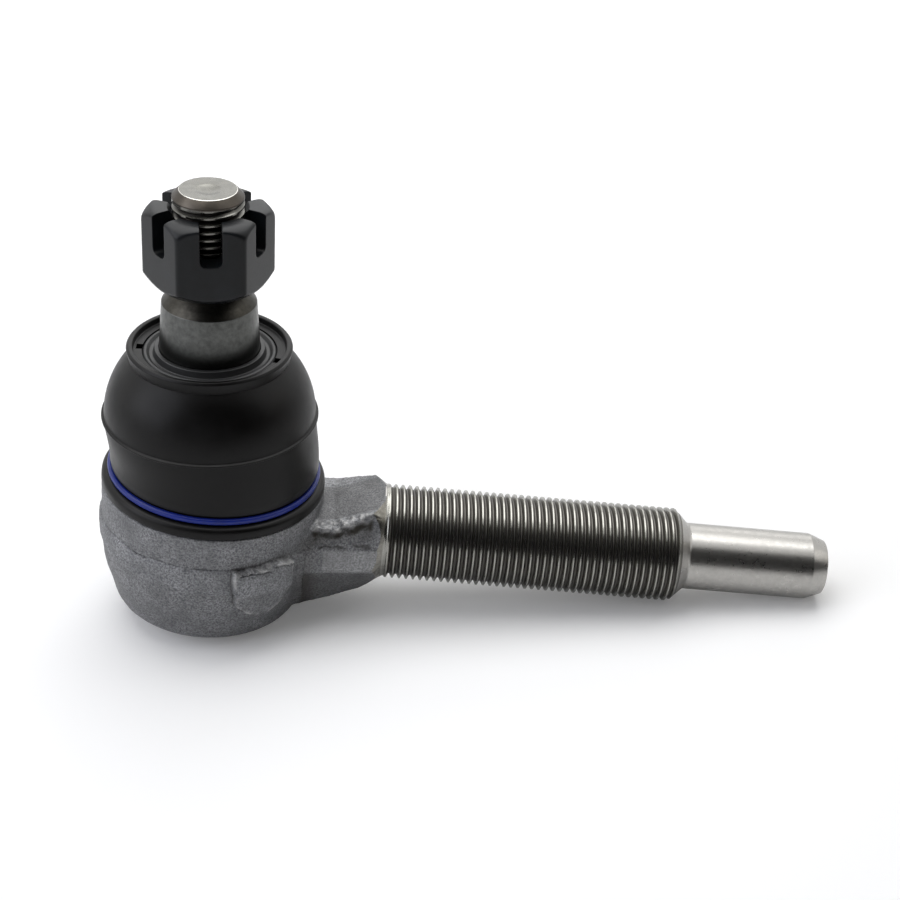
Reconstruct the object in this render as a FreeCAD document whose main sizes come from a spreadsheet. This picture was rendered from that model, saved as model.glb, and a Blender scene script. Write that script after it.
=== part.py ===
"""Steering tie rod end: a forged housing with a threaded shank, and a ball stud under a rubber boot.

The frame is that of the ball joint. The ball's centre is the origin, +Z is the axis of the socket
and points out of its mouth, and +X runs along the shank. Everything that swings with the ball stud
is drawn upright about its own Z axis, and its Placement leans it by StudLean towards -X.
"""
import FreeCAD, Part
import math
import os
import Sketcher

SIZES = {
    # Ball joint
    "BallRadius": 13.5,
    "BallFoot": 58.0,              # latitude, in degrees, where the flat under the ball starts
    "SeatGap": 0.05,
    "SeatRadius": 17.45,
    "UpperSeatTop": 7.6,
    "UpperSeatFoot": 0.4,
    "LowerSeatTop": -0.2,
    "LowerSeatFoot": -12.2,
    "LowerSeatWell": 6.0,          # radius of the grease well under the ball
    "LowerSeatStep": 12.6,         # radius where the preload spring bears
    "LowerSeatStepUp": -11.2,
    "SeatBevel": 1.0,
    "SpringInnerRadius": 6.6,
    "SpringOuterRadius": 15.8,
    "SpringTopInner": -12.3,
    "SpringTopOuter": -13.9,
    "SpringThickness": 1.1,
    "CoverRadius": 17.45,
    "CoverTop": -15.1,
    "CoverFoot": -17.5,
    "CoverDomeRadius": 9.0,
    "CoverDomeFoot": -16.9,

    # Forged socket
    "SocketFoot": -19.5,
    "SocketFootRadius": 15.6,
    "RollRound": 5.0,              # radius of the rolled-in bottom corner
    "RollTop": -15.8,
    "RollTopRadius": 19.9,
    "DraftTop": -2.6,
    "SocketRadius": 22.9,
    "FlashRadius": 23.1,
    "FlashTop": 1.1,
    "FlashFoot": -0.9,
    "ShoulderRadius": 23.1,
    "ShoulderTop": 9.3,
    "CollarRadius": 19.4,
    "CollarLipRadius": 19.85,
    "CollarLipFoot": 13.0,
    "CollarTop": 13.8,
    "BoreRadius": 17.5,
    "BoreTop": 7.7,
    "MouthLowRadius": 11.6,
    "MouthLow": 8.6,
    "MouthHighRadius": 13.6,
    "RollLipRadius": 13.6,
    "PadInnerRadius": 20.0,
    "PadRadius": 24.2,
    "PadTop": 1.9,
    "PadFoot": -9.2,
    "PadCorner": 1.0,
    "PadLedge": 0.6,
    "PadSweep": 26.0,
    "PadTurn": 60.0,               # angle of the pad's middle from the shank, seen from above

    # Neck between socket and shank
    "NeckStart": 15.0,
    "NeckMiddle": 25.5,
    "NeckEnd": 36.4,
    "NeckTop": 5.7,
    "NeckEndTop": 10.0,
    "NeckTopHalf": 10.0,
    "NeckEndTopHalf": 6.9,
    "NeckStartHalf": 13.6,
    "NeckHalf": 11.6,
    "NeckEndHalf": 10.6,
    "NeckSideTop": 1.8,
    "NeckSideFoot": -3.4,
    "NeckStartFoot": -16.4,
    "NeckFoot": -14.0,
    "NeckEndFoot": -10.3,
    "NeckStartFootHalf": 9.0,
    "NeckFootHalf": 6.6,
    "NeckEndFootHalf": 5.0,
    "ConeStart": 33.2,
    "ConeStartRadius": 13.0,

    # Shank
    "ThreadRadius": 9.97,
    "ThreadStart": 36.2,
    "ThreadEnd": 98.4,
    "PilotStart": 101.4,
    "PilotRadius": 7.1,
    "PilotChamferStart": 128.2,
    "PilotEnd": 131.7,
    "PilotEndRadius": 5.75,
    "CentreDrillRadius": 2.1,
    "CentreDrillDepth": 128.0,

    # Ball stud
    "StudLean": 3.3,
    "StudNeckRadius": 7.4,
    "StudNeckTop": 20.0,
    "StudFlareRound": 24.3,
    "SealTop": 31.0,
    "SealRadius": 10.05,
    "TaperStart": 41.5,
    "TaperEnd": 50.8,
    "TaperEndRadius": 9.43,
    "ShoulderEnd": 52.2,
    "ShoulderEndRadius": 8.3,
    "StudThreadStart": 53.6,
    "StudThreadRadius": 6.98,
    "StudChamferStart": 73.2,
    "StudEnd": 74.6,
    "StudEndRadius": 5.6,
    "StudCentreRadius": 1.5,
    "StudCentreDepth": 73.6,
    "PinHoleRadius": 1.65,
    "PinHoleLevel": 67.2,
    "PinHoleTurn": 64.0,

    # Castle nut
    "NutFoot": 55.0,
    "NutHeight": 16.0,
    "NutHalfFlats": 11.2,
    "NutTurn": 7.5,
    "NutBoreRadius": 7.03,
    "NutFaceRadius": 9.7,
    "NutCornerRadius": 13.4,
    "NutFootChamferTop": 4.2,
    "NutCrownRadius": 10.0,
    "NutCrownRound": 3.2,
    "NutCrownStart": 13.5,
    "NutSlotHalf": 2.15,
    "NutSlotFloor": 8.1,
    "NutSlotRound": 0.6,
    "NutLeadRadius": 7.9,
    "NutLeadDepth": 0.9,

    # Dust boot
    "BeadOuterRadius": 23.1,
    "BeadTop": 11.9,
    "RingSeatRadius": 21.0,
    "RingSeatFoot": 12.3,
    "RingSeatTop": 13.95,
    "SkirtStart": 14.3,
    "SkirtRadius": 21.5,
    "SkirtInnerRadius": 19.9,
    "RidgeLevel": 25.6,
    "RidgeRadius": 22.0,
    "RidgeHalf": 0.25,
    "DomeRound": 18.5,
    "DomeTop": 38.5,
    "DomeTopRadius": 16.1,
    "DomeWall": 1.6,
    "LipRadius": 16.6,
    "LipTop": 41.2,
    "LipInnerRadius": 15.3,
    "LipFloor": 39.9,
    "LipFoot": 37.0,
    "InsertSeatRadius": 13.45,

    # Ring that clamps the boot's base
    "ClampInnerRadius": 21.03,
    "ClampOuterRadius": 22.25,
    "ClampFoot": 12.4,
    "ClampTop": 13.85,
    "ClampRound": 0.35,

    # Insert that holds the boot's lip on the stud
    "InsertBoreRadius": 10.12,
    "InsertRadius": 13.4,
    "InsertFoot": 37.1,
    "InsertTop": 39.9,
    "InsertBeadRadius": 11.3,
    "InsertBeadTop": 40.7,
    "InsertDishRadius": 12.0,
    "InsertDishFloor": 39.3,
    "InsertEdge": 0.35,            # bevel that leaves a fine groove against the boot's lip
    "InsertDishEdge": 0.4,

    # Square gate marks in the floor of the boot's lip
    "NotchStart": 13.2,
    "NotchLength": 1.5,
    "NotchWidth": 1.3,
    "NotchDepth": 1.0,
    "NotchTurnLeft": 187.0,        # angles about the stud, from the shank towards the back
    "NotchTurnRight": 340.0,

    # Shared small sizes
    "Overcut": 1.0,                # how far a cutting profile runs past the surface
    "BootFit": 0.05,               # gap between the boot and the metal it sits on
    "SmallBevel": 0.3,
}

FULL_TURN = 360.0
HALF_TURN = 180.0
POLE = 90.0                        # latitude of the ball's top
NUT_SIDES = 6
document = FreeCAD.newDocument("TieRodEnd")
sheet = document.addObject("Spreadsheet::Sheet", "Dims")


def fill_sheet():
    """Each driving dimension is one named cell of the sheet, in millimetres or degrees."""
    for row, (name, size) in enumerate(SIZES.items(), start=1):
        sheet.set(f"A{row}", name)
        sheet.set(f"B{row}", str(size))
        sheet.setAlias(f"B{row}", name)
    document.recompute()


def is_number(word):
    return word.replace(".", "", 1).isdigit()


def measure(text):
    """The value of a sum such as "RidgeLevel - RidgeHalf", for a sketch's first position."""
    total = 0.0
    sign = 1.0
    for word in text.split():
        if word in ("+", "-"):
            sign = 1.0 if word == "+" else -1.0
        else:
            total += sign * (float(word) if is_number(word) else SIZES[word])
            sign = 1.0
    return total


def formula(text):
    """The same sum written for the expression engine."""
    words = text.split()
    if words[0] in ("+", "-"):
        words.insert(0, "0")
    return " ".join(w if w in ("+", "-") or is_number(w) else f"Dims.{w}" for w in words)


def bind(thing, prop, text):
    thing.setExpression(prop, formula(text))


def new_body(label):
    body = document.addObject("PartDesign::Body", label)
    body.Label = label
    return body


def new_sketch(body, name, role, shift=None, turn=None):
    """A sketch on one of the body's origin planes, moved along its normal or turned in place."""
    plane = [p for p in body.Origin.OriginFeatures if p.Role == role][0]
    sketch = body.newObject("Sketcher::SketchObject", name)
    sketch.AttachmentSupport = [(plane, "")]
    sketch.MapMode = "FlatFace"
    if turn is not None:
        sketch.AttachmentOffset = FreeCAD.Placement(FreeCAD.Vector(), turn)
    if shift is not None:
        bind(sketch, "AttachmentOffset.Base.z", shift)
    return sketch


def arc_through(start, end, radius):
    """An arc from start to end that bulges to the left of the way there, or right if negative."""
    chord = end - start
    half = chord.Length / 2
    side = FreeCAD.Vector(-chord.y, chord.x, 0).normalize()
    rise = abs(radius) - math.sqrt(radius * radius - half * half)
    middle = start + chord * 0.5 + side * math.copysign(rise, radius)
    return Part.Arc(start, middle, end)


def draw_outline(sketch, points):
    """A closed outline. A point is (across, up) or (across, up, radius of the arc to the next)."""
    places = [FreeCAD.Vector(measure(p[0]), measure(p[1]), 0) for p in points]
    ends = []
    for index, point in enumerate(points):
        start = places[index]
        end = places[(index + 1) % len(places)]
        if len(point) == 3:
            sign, name = (-1, point[2][1:]) if point[2].startswith("-") else (1, point[2])
            edge = sketch.addGeometry(arc_through(start, end, sign * measure(name)))
            bound = sketch.addConstraint(Sketcher.Constraint("Radius", edge, measure(name)))
            sketch.renameConstraint(bound, f"round{index}")
            bind(sketch, f"Constraints.round{index}", name)
            forward = sketch.getPoint(edge, 1).distanceToPoint(start) < 1e-6
        else:
            edge = sketch.addGeometry(Part.LineSegment(start, end))
            forward = True
        ends.append((edge, 1, 2) if forward else (edge, 2, 1))
    for index, point in enumerate(points):
        edge, first, _ = ends[index]
        before, _, last = ends[index - 1]
        sketch.addConstraint(Sketcher.Constraint("Coincident", before, last, edge, first))
        for kind, name, text in (("DistanceX", "across", point[0]), ("DistanceY", "up", point[1])):
            value = measure(text)
            bound = sketch.addConstraint(Sketcher.Constraint(kind, -1, 1, edge, first, value))
            if text != "0":
                sketch.renameConstraint(bound, f"{name}{index}")
                bind(sketch, f"Constraints.{name}{index}", text)


def draw_circle(sketch, radius):
    edge = sketch.addGeometry(Part.Circle(FreeCAD.Vector(), FreeCAD.Vector(0, 0, 1), measure(radius)))
    bound = sketch.addConstraint(Sketcher.Constraint("Radius", edge, measure(radius)))
    sketch.renameConstraint(bound, "size")
    bind(sketch, "Constraints.size", radius)
    sketch.addConstraint(Sketcher.Constraint("Coincident", edge, 3, -1, 1))


def revolve(body, name, points, kind="Revolution", axis="V_Axis", role="XZ_Plane", turn=None,
            sweep=None):
    """A profile turned about the sketch's own upright axis, or its level one for the shank."""
    before = body.Tip.Shape.Volume if body.Tip else 0.0
    sketch = new_sketch(body, f"{body.Name}_{name}_profile", role, turn=turn)
    draw_outline(sketch, points)
    feature = body.newObject(f"PartDesign::{kind}", f"{body.Name}_{name}")
    feature.Profile = sketch
    feature.ReferenceAxis = (sketch, [axis])
    feature.Angle = FULL_TURN
    if sweep is not None:
        feature.Midplane = True
        bind(feature, "Angle", sweep)
    document.recompute()
    check_change(feature, before, kind != "Groove")
    return feature


def check_change(feature, before, grows):
    """A cut must take something away and an addition must add something."""
    change = feature.Shape.Volume - before
    if (change > 0) != grows:
        raise RuntimeError(f"{feature.Name} changed the volume by {change:.3f}")


def pocket_through(body, name, sketch, both_ways=False):
    before = body.Tip.Shape.Volume
    cut = body.newObject("PartDesign::Pocket", f"{body.Name}_{name}")
    cut.Profile = sketch
    cut.Type = "ThroughAll"
    if both_ways:
        cut.SideType = "Symmetric"
    document.recompute()
    check_change(cut, before, False)
    return cut


def pattern_round(body, name, feature, count):
    """The feature repeated evenly about the body's Z axis."""
    pattern = body.newObject("PartDesign::PolarPattern", f"{body.Name}_{name}")
    pattern.Originals = [feature]
    axis = [a for a in body.Origin.OriginFeatures if a.Role == "Z_Axis"][0]
    pattern.Axis = (axis, [""])
    pattern.Angle = FULL_TURN
    pattern.Occurrences = count
    body.Tip = pattern
    document.recompute()
    return pattern


def lean_with_stud(body):
    """Stand the body on the stud's axis, which leans towards -X at rest."""
    body.Placement = FreeCAD.Placement(FreeCAD.Vector(), FreeCAD.Rotation(
        FreeCAD.Vector(0, -1, 0), SIZES["StudLean"]))
    body.setExpression("Placement.Rotation.Angle", "Dims.StudLean")
    document.recompute()


def neck_section(body, name, station, top, top_half, half, foot, foot_half):
    """An eight-sided forging section across the neck, upright at one station along the shank."""
    sketch = new_sketch(body, f"{body.Name}_{name}", "YZ_Plane", shift=station)
    draw_outline(sketch, [
        (f"- {top_half}", top),
        (top_half, top),
        (half, "NeckSideTop"),
        (half, "NeckSideFoot"),
        (foot_half, foot),
        (f"- {foot_half}", foot),
        (f"- {half}", "NeckSideFoot"),
        (f"- {half}", "NeckSideTop"),
    ])
    return sketch


def make_forged_housing():
    """Socket, neck and shank are one forging; only the shank and the bore are machined."""
    body = new_body("forged_housing")
    revolve(body, "socket", [
        ("0", "SocketFoot"),
        ("SocketFootRadius", "SocketFoot", "-RollRound"),
        ("RollTopRadius", "RollTop"),
        ("SocketRadius", "DraftTop"),
        ("SocketRadius", "FlashFoot"),
        ("FlashRadius", "FlashFoot + SmallBevel"),
        ("FlashRadius", "FlashTop - SmallBevel"),
        ("SocketRadius", "FlashTop"),
        ("ShoulderRadius", "ShoulderTop"),
        ("CollarRadius", "ShoulderTop"),
        ("CollarRadius", "CollarLipFoot"),
        ("CollarLipRadius", "CollarLipFoot + SmallBevel"),
        ("CollarLipRadius", "CollarTop"),
        ("0", "CollarTop"),
    ])
    sections = [
        neck_section(body, "neck_start", "NeckStart", "NeckTop", "NeckTopHalf", "NeckStartHalf",
                     "NeckStartFoot", "NeckStartFootHalf"),
        neck_section(body, "neck_middle", "NeckMiddle", "NeckTop", "NeckTopHalf", "NeckHalf",
                     "NeckFoot", "NeckFootHalf"),
        neck_section(body, "neck_end", "NeckEnd", "NeckEndTop", "NeckEndTopHalf", "NeckEndHalf",
                     "NeckEndFoot", "NeckEndFootHalf"),
    ]
    neck = body.newObject("PartDesign::AdditiveLoft", "forged_housing_neck")
    neck.Profile = sections[0]
    neck.Sections = sections[1:]
    neck.Ruled = True
    document.recompute()
    revolve(body, "shank", [
        ("ThreadStart", "0"),
        ("ThreadStart", "ThreadRadius"),
        ("ThreadEnd", "ThreadRadius"),
        ("PilotStart", "PilotRadius"),
        ("PilotChamferStart", "PilotRadius"),
        ("PilotEnd", "PilotEndRadius"),
        ("PilotEnd", "CentreDrillRadius"),
        ("CentreDrillDepth", "0"),
    ], axis="H_Axis")
    revolve(body, "neck_cone", [
        ("ConeStart", "ConeStartRadius"),
        ("ThreadStart", "ThreadRadius"),
        ("ThreadStart + Overcut", "ThreadRadius"),
        ("ThreadStart + Overcut", "SocketRadius"),
        ("ConeStart", "SocketRadius"),
    ], kind="Groove", axis="H_Axis")
    facing = FreeCAD.Rotation(FreeCAD.Vector(0, 1, 0), HALF_TURN - SIZES["PadTurn"])
    revolve(body, "pad", [
        ("- PadInnerRadius", "PadFoot"),
        ("- PadRadius + PadCorner", "PadFoot"),
        ("- PadRadius", "PadFoot + PadCorner"),
        ("- PadRadius", "PadTop - PadLedge"),
        ("- PadRadius + PadLedge", "PadTop"),
        ("- PadInnerRadius", "PadTop"),
    ], turn=facing, sweep="PadSweep")
    revolve(body, "bore", [
        ("0", "SocketFoot - Overcut"),
        ("RollLipRadius", "SocketFoot - Overcut"),
        ("RollLipRadius", "CoverFoot"),
        ("BoreRadius", "CoverFoot"),
        ("BoreRadius", "BoreTop"),
        ("MouthLowRadius", "BoreTop"),
        ("MouthLowRadius", "MouthLow"),
        ("MouthHighRadius", "CollarTop"),
        ("MouthHighRadius", "CollarTop + Overcut"),
        ("0", "CollarTop + Overcut"),
    ], kind="Groove")
    return body


def make_upper_seat():
    """The bearing shell between the ball and the top of the socket."""
    body = new_body("upper_ball_seat")
    revolve(body, "shell", [
        ("MouthLowRadius - SmallBevel", "UpperSeatFoot"),
        ("SeatRadius", "UpperSeatFoot"),
        ("SeatRadius", "UpperSeatTop"),
        ("MouthLowRadius - SmallBevel", "UpperSeatTop"),
    ])
    cut_ball(body)
    return body


def cut_ball(body):
    before = body.Tip.Shape.Volume
    hollow = body.newObject("PartDesign::SubtractiveSphere", f"{body.Name}_ball_hollow")
    bind(hollow, "Radius", "BallRadius + SeatGap")
    document.recompute()
    check_change(hollow, before, False)


def make_lower_seat():
    """The cup that the spring presses up against the ball."""
    body = new_body("lower_ball_seat")
    revolve(body, "cup", [
        ("LowerSeatWell", "LowerSeatFoot"),
        ("LowerSeatStep", "LowerSeatFoot"),
        ("LowerSeatStep", "LowerSeatStepUp"),
        ("SeatRadius - SeatBevel", "LowerSeatStepUp"),
        ("SeatRadius", "LowerSeatStepUp + SeatBevel"),
        ("SeatRadius", "LowerSeatTop"),
        ("LowerSeatWell", "LowerSeatTop"),
    ])
    cut_ball(body)
    return body


def make_preload_spring():
    """A dished spring washer between the cup and the cover."""
    body = new_body("preload_spring_washer")
    revolve(body, "washer", [
        ("SpringInnerRadius", "SpringTopInner - SpringThickness"),
        ("SpringOuterRadius", "SpringTopOuter - SpringThickness"),
        ("SpringOuterRadius", "SpringTopOuter"),
        ("SpringInnerRadius", "SpringTopInner"),
    ])
    return body


def make_cover():
    """The plate that closes the socket; the forging's bottom edge is rolled in over it."""
    body = new_body("rolled_in_cover")
    revolve(body, "plate", [
        ("0", "CoverDomeFoot"),
        ("CoverDomeRadius", "CoverDomeFoot"),
        ("CoverDomeRadius + SeatBevel", "CoverFoot"),
        ("CoverRadius", "CoverFoot"),
        ("CoverRadius", "CoverTop"),
        ("0", "CoverTop"),
    ])
    return body


def make_ball_stud():
    """Ball, neck, seal land, 1:10 taper, shoulder and thread, turned in one piece."""
    body = new_body("ball_stud")
    ball = body.newObject("PartDesign::AdditiveSphere", "ball_stud_ball")
    bind(ball, "Radius", "BallRadius")
    ball.Angle2 = POLE
    bind(ball, "Angle1", "- BallFoot")
    document.recompute()
    revolve(body, "stem", [
        ("0", "0"),
        ("StudNeckRadius", "0"),
        ("StudNeckRadius", "StudNeckTop", "StudFlareRound"),
        ("SealRadius", "SealTop"),
        ("SealRadius", "TaperStart"),
        ("TaperEndRadius", "TaperEnd"),
        ("ShoulderEndRadius", "ShoulderEnd"),
        ("StudThreadRadius", "StudThreadStart"),
        ("StudThreadRadius", "StudChamferStart"),
        ("StudEndRadius", "StudEnd"),
        ("StudCentreRadius", "StudEnd"),
        ("0", "StudCentreDepth"),
    ])
    turned = FreeCAD.Rotation(FreeCAD.Vector(0, 1, 0), SIZES["PinHoleTurn"])
    sketch = new_sketch(body, "ball_stud_pin_hole_circle", "XZ_Plane", turn=turned)
    edge = sketch.addGeometry(Part.Circle(FreeCAD.Vector(0, SIZES["PinHoleLevel"], 0),
                                          FreeCAD.Vector(0, 0, 1), SIZES["PinHoleRadius"]))
    sketch.addConstraint(Sketcher.Constraint("PointOnObject", edge, 3, -2))
    for kind, name, source, ends in (
            ("Radius", "size", "PinHoleRadius", (edge,)),
            ("DistanceY", "level", "PinHoleLevel", (-1, 1, edge, 3))):
        bound = sketch.addConstraint(Sketcher.Constraint(kind, *ends, SIZES[source]))
        sketch.renameConstraint(bound, name)
        bind(sketch, f"Constraints.{name}", source)
    pocket_through(body, "pin_hole", sketch, both_ways=True)
    lean_with_stud(body)
    return body


def make_castle_nut():
    """A hexagon with six slots in its crown, rounded at the top and chamfered at its foot."""
    body = new_body("castle_nut")
    sketch = new_sketch(body, "castle_nut_hexagon", "XY_Plane", shift="NutFoot")
    corner = FreeCAD.Vector(SIZES["NutHalfFlats"] / math.cos(math.pi / NUT_SIDES), 0, 0)
    up = FreeCAD.Vector(0, 0, 1)
    corners = [FreeCAD.Rotation(up, FULL_TURN * n / NUT_SIDES).multVec(corner) for n in range(NUT_SIDES)]
    rim = sketch.addGeometry(Part.Circle(FreeCAD.Vector(), up, SIZES["NutHalfFlats"]), True)
    sketch.addConstraint(Sketcher.Constraint("Coincident", rim, 3, -1, 1))
    bound = sketch.addConstraint(Sketcher.Constraint("Radius", rim, SIZES["NutHalfFlats"]))
    sketch.renameConstraint(bound, "half_flats")
    bind(sketch, "Constraints.half_flats", "NutHalfFlats")
    sides = [sketch.addGeometry(Part.LineSegment(corners[n - 1], corners[n])) for n in range(NUT_SIDES)]
    for n in range(NUT_SIDES):
        sketch.addConstraint(Sketcher.Constraint("Coincident", sides[n - 1], 2, sides[n], 1))
        sketch.addConstraint(Sketcher.Constraint("Tangent", sides[n], rim))
    for n in range(1, NUT_SIDES):
        sketch.addConstraint(Sketcher.Constraint("Equal", sides[0], sides[n]))
    sketch.addConstraint(Sketcher.Constraint("Horizontal", sides[2]))
    pad = body.newObject("PartDesign::Pad", "castle_nut_block")
    pad.Profile = sketch
    bind(pad, "Length", "NutHeight")
    document.recompute()

    slot = new_sketch(body, "castle_nut_slot_section", "XZ_Plane")
    draw_outline(slot, [
        ("- NutSlotHalf", "NutFoot + NutSlotFloor + NutSlotRound", "-NutSlotRound"),
        ("- NutSlotHalf + NutSlotRound", "NutFoot + NutSlotFloor"),
        ("NutSlotHalf - NutSlotRound", "NutFoot + NutSlotFloor", "-NutSlotRound"),
        ("NutSlotHalf", "NutFoot + NutSlotFloor + NutSlotRound"),
        ("NutSlotHalf", "NutFoot + NutHeight + Overcut"),
        ("- NutSlotHalf", "NutFoot + NutHeight + Overcut"),
    ])
    cut = pocket_through(body, "slot", slot)
    before = cut.Shape.Volume
    pattern = pattern_round(body, "slots", cut, NUT_SIDES)
    check_change(pattern, before, False)
    revolve(body, "foot_chamfer", [
        ("NutFaceRadius", "NutFoot - Overcut"),
        ("NutCornerRadius + Overcut", "NutFoot - Overcut"),
        ("NutCornerRadius + Overcut", "NutFoot + NutFootChamferTop"),
        ("NutCornerRadius", "NutFoot + NutFootChamferTop"),
        ("NutFaceRadius", "NutFoot"),
    ], kind="Groove")
    revolve(body, "crown_round", [
        ("NutCornerRadius", "NutFoot + NutCrownStart"),
        ("NutCornerRadius + Overcut", "NutFoot + NutCrownStart"),
        ("NutCornerRadius + Overcut", "NutFoot + NutHeight + Overcut"),
        ("NutCrownRadius", "NutFoot + NutHeight + Overcut"),
        ("NutCrownRadius", "NutFoot + NutHeight", "NutCrownRound"),
    ], kind="Groove")
    revolve(body, "bore", [
        ("0", "NutFoot - Overcut"),
        ("NutLeadRadius", "NutFoot - Overcut"),
        ("NutLeadRadius", "NutFoot"),
        ("NutBoreRadius", "NutFoot + NutLeadDepth"),
        ("NutBoreRadius", "NutFoot + NutHeight - NutLeadDepth"),
        ("NutLeadRadius", "NutFoot + NutHeight"),
        ("NutLeadRadius", "NutFoot + NutHeight + Overcut"),
        ("0", "NutFoot + NutHeight + Overcut"),
    ], kind="Groove")
    lean = FreeCAD.Rotation(FreeCAD.Vector(0, -1, 0), SIZES["StudLean"])
    turn = FreeCAD.Rotation(FreeCAD.Vector(0, 0, 1), SIZES["NutTurn"])
    body.Placement = FreeCAD.Placement(FreeCAD.Vector(), lean.multiply(turn))
    return body


def make_boot():
    """The bellows stands on the socket's axis at its base and on the stud's axis at its lip."""
    body = new_body("dust_boot")
    revolve(body, "base", [
        ("CollarRadius + BootFit", "ShoulderTop + BootFit"),
        ("BeadOuterRadius", "ShoulderTop + BootFit"),
        ("BeadOuterRadius", "BeadTop"),
        ("RingSeatRadius", "RingSeatFoot"),
        ("RingSeatRadius", "RingSeatTop"),
        ("SkirtRadius", "SkirtStart"),
        ("SkirtInnerRadius", "SkirtStart"),
        ("SkirtInnerRadius", "CollarLipFoot - BootFit"),
        ("CollarRadius + BootFit", "CollarLipFoot - BootFit - BootFit"),
    ])
    lean = FreeCAD.Rotation(FreeCAD.Vector(0, -1, 0), SIZES["StudLean"])
    wall = (("skirt_outside", "SkirtRadius", "PartDesign::AdditiveLoft"),
            ("skirt_inside", "SkirtInnerRadius", "PartDesign::SubtractiveLoft"))
    for name, radius, kind in wall:
        low = new_sketch(body, f"dust_boot_{name}_low", "XY_Plane", shift="SkirtStart")
        draw_circle(low, radius)
        high = body.newObject("Sketcher::SketchObject", f"dust_boot_{name}_high")
        plane = [p for p in body.Origin.OriginFeatures if p.Role == "XY_Plane"][0]
        high.AttachmentSupport = [(plane, "")]
        high.MapMode = "FlatFace"
        high.AttachmentOffset = FreeCAD.Placement(
            lean.multVec(FreeCAD.Vector(0, 0, SIZES["RidgeLevel"])), lean)
        draw_circle(high, radius)
        loft = body.newObject(kind, f"dust_boot_{name}")
        loft.Profile = low
        loft.Sections = [high]
        document.recompute()
    tilt = FreeCAD.Rotation(FreeCAD.Vector(0, 0, 1), SIZES["StudLean"])
    revolve(body, "dome", [
        ("SkirtInnerRadius", "RidgeLevel - RidgeHalf"),
        ("RidgeRadius", "RidgeLevel - RidgeHalf"),
        ("RidgeRadius", "RidgeLevel + RidgeHalf"),
        ("SkirtRadius", "RidgeLevel + RidgeHalf", "-DomeRound"),
        ("DomeTopRadius", "DomeTop"),
        ("LipRadius", "LipTop - SmallBevel"),
        ("LipRadius - SmallBevel", "LipTop"),
        ("LipInnerRadius", "LipTop"),
        ("LipInnerRadius", "LipFloor"),
        ("InsertSeatRadius", "LipFloor"),
        ("InsertSeatRadius", "LipFoot"),
        ("DomeTopRadius - DomeWall", "LipFoot", "DomeRound"),
    ], turn=tilt)
    for azimuth in ("NotchTurnLeft", "NotchTurnRight"):
        before = body.Tip.Shape.Volume
        notch = body.newObject("PartDesign::SubtractiveBox", f"dust_boot_{azimuth}")
        bind(notch, "Length", "NotchLength")
        bind(notch, "Width", "NotchWidth")
        bind(notch, "Height", "NotchDepth + Overcut")
        corner = FreeCAD.Vector(SIZES["NotchStart"], -SIZES["NotchWidth"] / 2,
                                SIZES["LipFloor"] - SIZES["NotchDepth"])
        facing = lean.multiply(FreeCAD.Rotation(FreeCAD.Vector(0, 0, 1), SIZES[azimuth]))
        notch.Placement = FreeCAD.Placement(facing.multVec(corner), facing)
        document.recompute()
        check_change(notch, before, False)
    return body


def make_clamp_ring():
    """The coloured spring ring in the groove above the boot's bead."""
    body = new_body("boot_clamp_ring")
    revolve(body, "band", [
        ("ClampInnerRadius", "ClampFoot"),
        ("ClampOuterRadius - ClampRound", "ClampFoot"),
        ("ClampOuterRadius", "ClampFoot + ClampRound"),
        ("ClampOuterRadius", "ClampTop - ClampRound"),
        ("ClampOuterRadius - ClampRound", "ClampTop"),
        ("ClampInnerRadius", "ClampTop"),
    ])
    return body


def make_lip_insert():
    """The dished ring that keeps the boot's lip tight on the stud, and turns on it."""
    body = new_body("boot_lip_insert")
    revolve(body, "ring", [
        ("InsertBoreRadius", "InsertFoot"),
        ("InsertRadius", "InsertFoot"),
        ("InsertRadius", "InsertTop - InsertEdge"),
        ("InsertRadius - InsertEdge", "InsertTop"),
        ("InsertRadius - InsertEdge - InsertDishEdge", "InsertTop"),
        ("InsertDishRadius", "InsertDishFloor"),
        ("InsertBeadRadius", "InsertDishFloor"),
        ("InsertBeadRadius - SmallBevel", "InsertBeadTop"),
        ("InsertBoreRadius", "InsertBeadTop"),
    ])
    lean_with_stud(body)
    return body


def check_document():
    for thing in document.Objects:
        if "Invalid" in thing.State or "Error" in thing.State:
            raise RuntimeError(f"{thing.Name} failed: {thing.State}")


def write_parts(bodies):
    os.makedirs("parts", exist_ok=True)
    for body in bodies:
        shape = body.Shape
        if shape.isNull() or not shape.isValid() or len(shape.Solids) != 1:
            raise RuntimeError(f"{body.Label} is not one valid solid")
        shape.exportStep(f"parts/{body.Label}.step")
        print(f"{body.Label}: {shape.Volume:.1f} mm3")


fill_sheet()
pieces = [
    make_forged_housing(),
    make_upper_seat(),
    make_lower_seat(),
    make_preload_spring(),
    make_cover(),
    make_ball_stud(),
    make_castle_nut(),
    make_boot(),
    make_clamp_ring(),
    make_lip_insert(),
]
document.recompute()
check_document()
write_parts(pieces)
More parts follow.
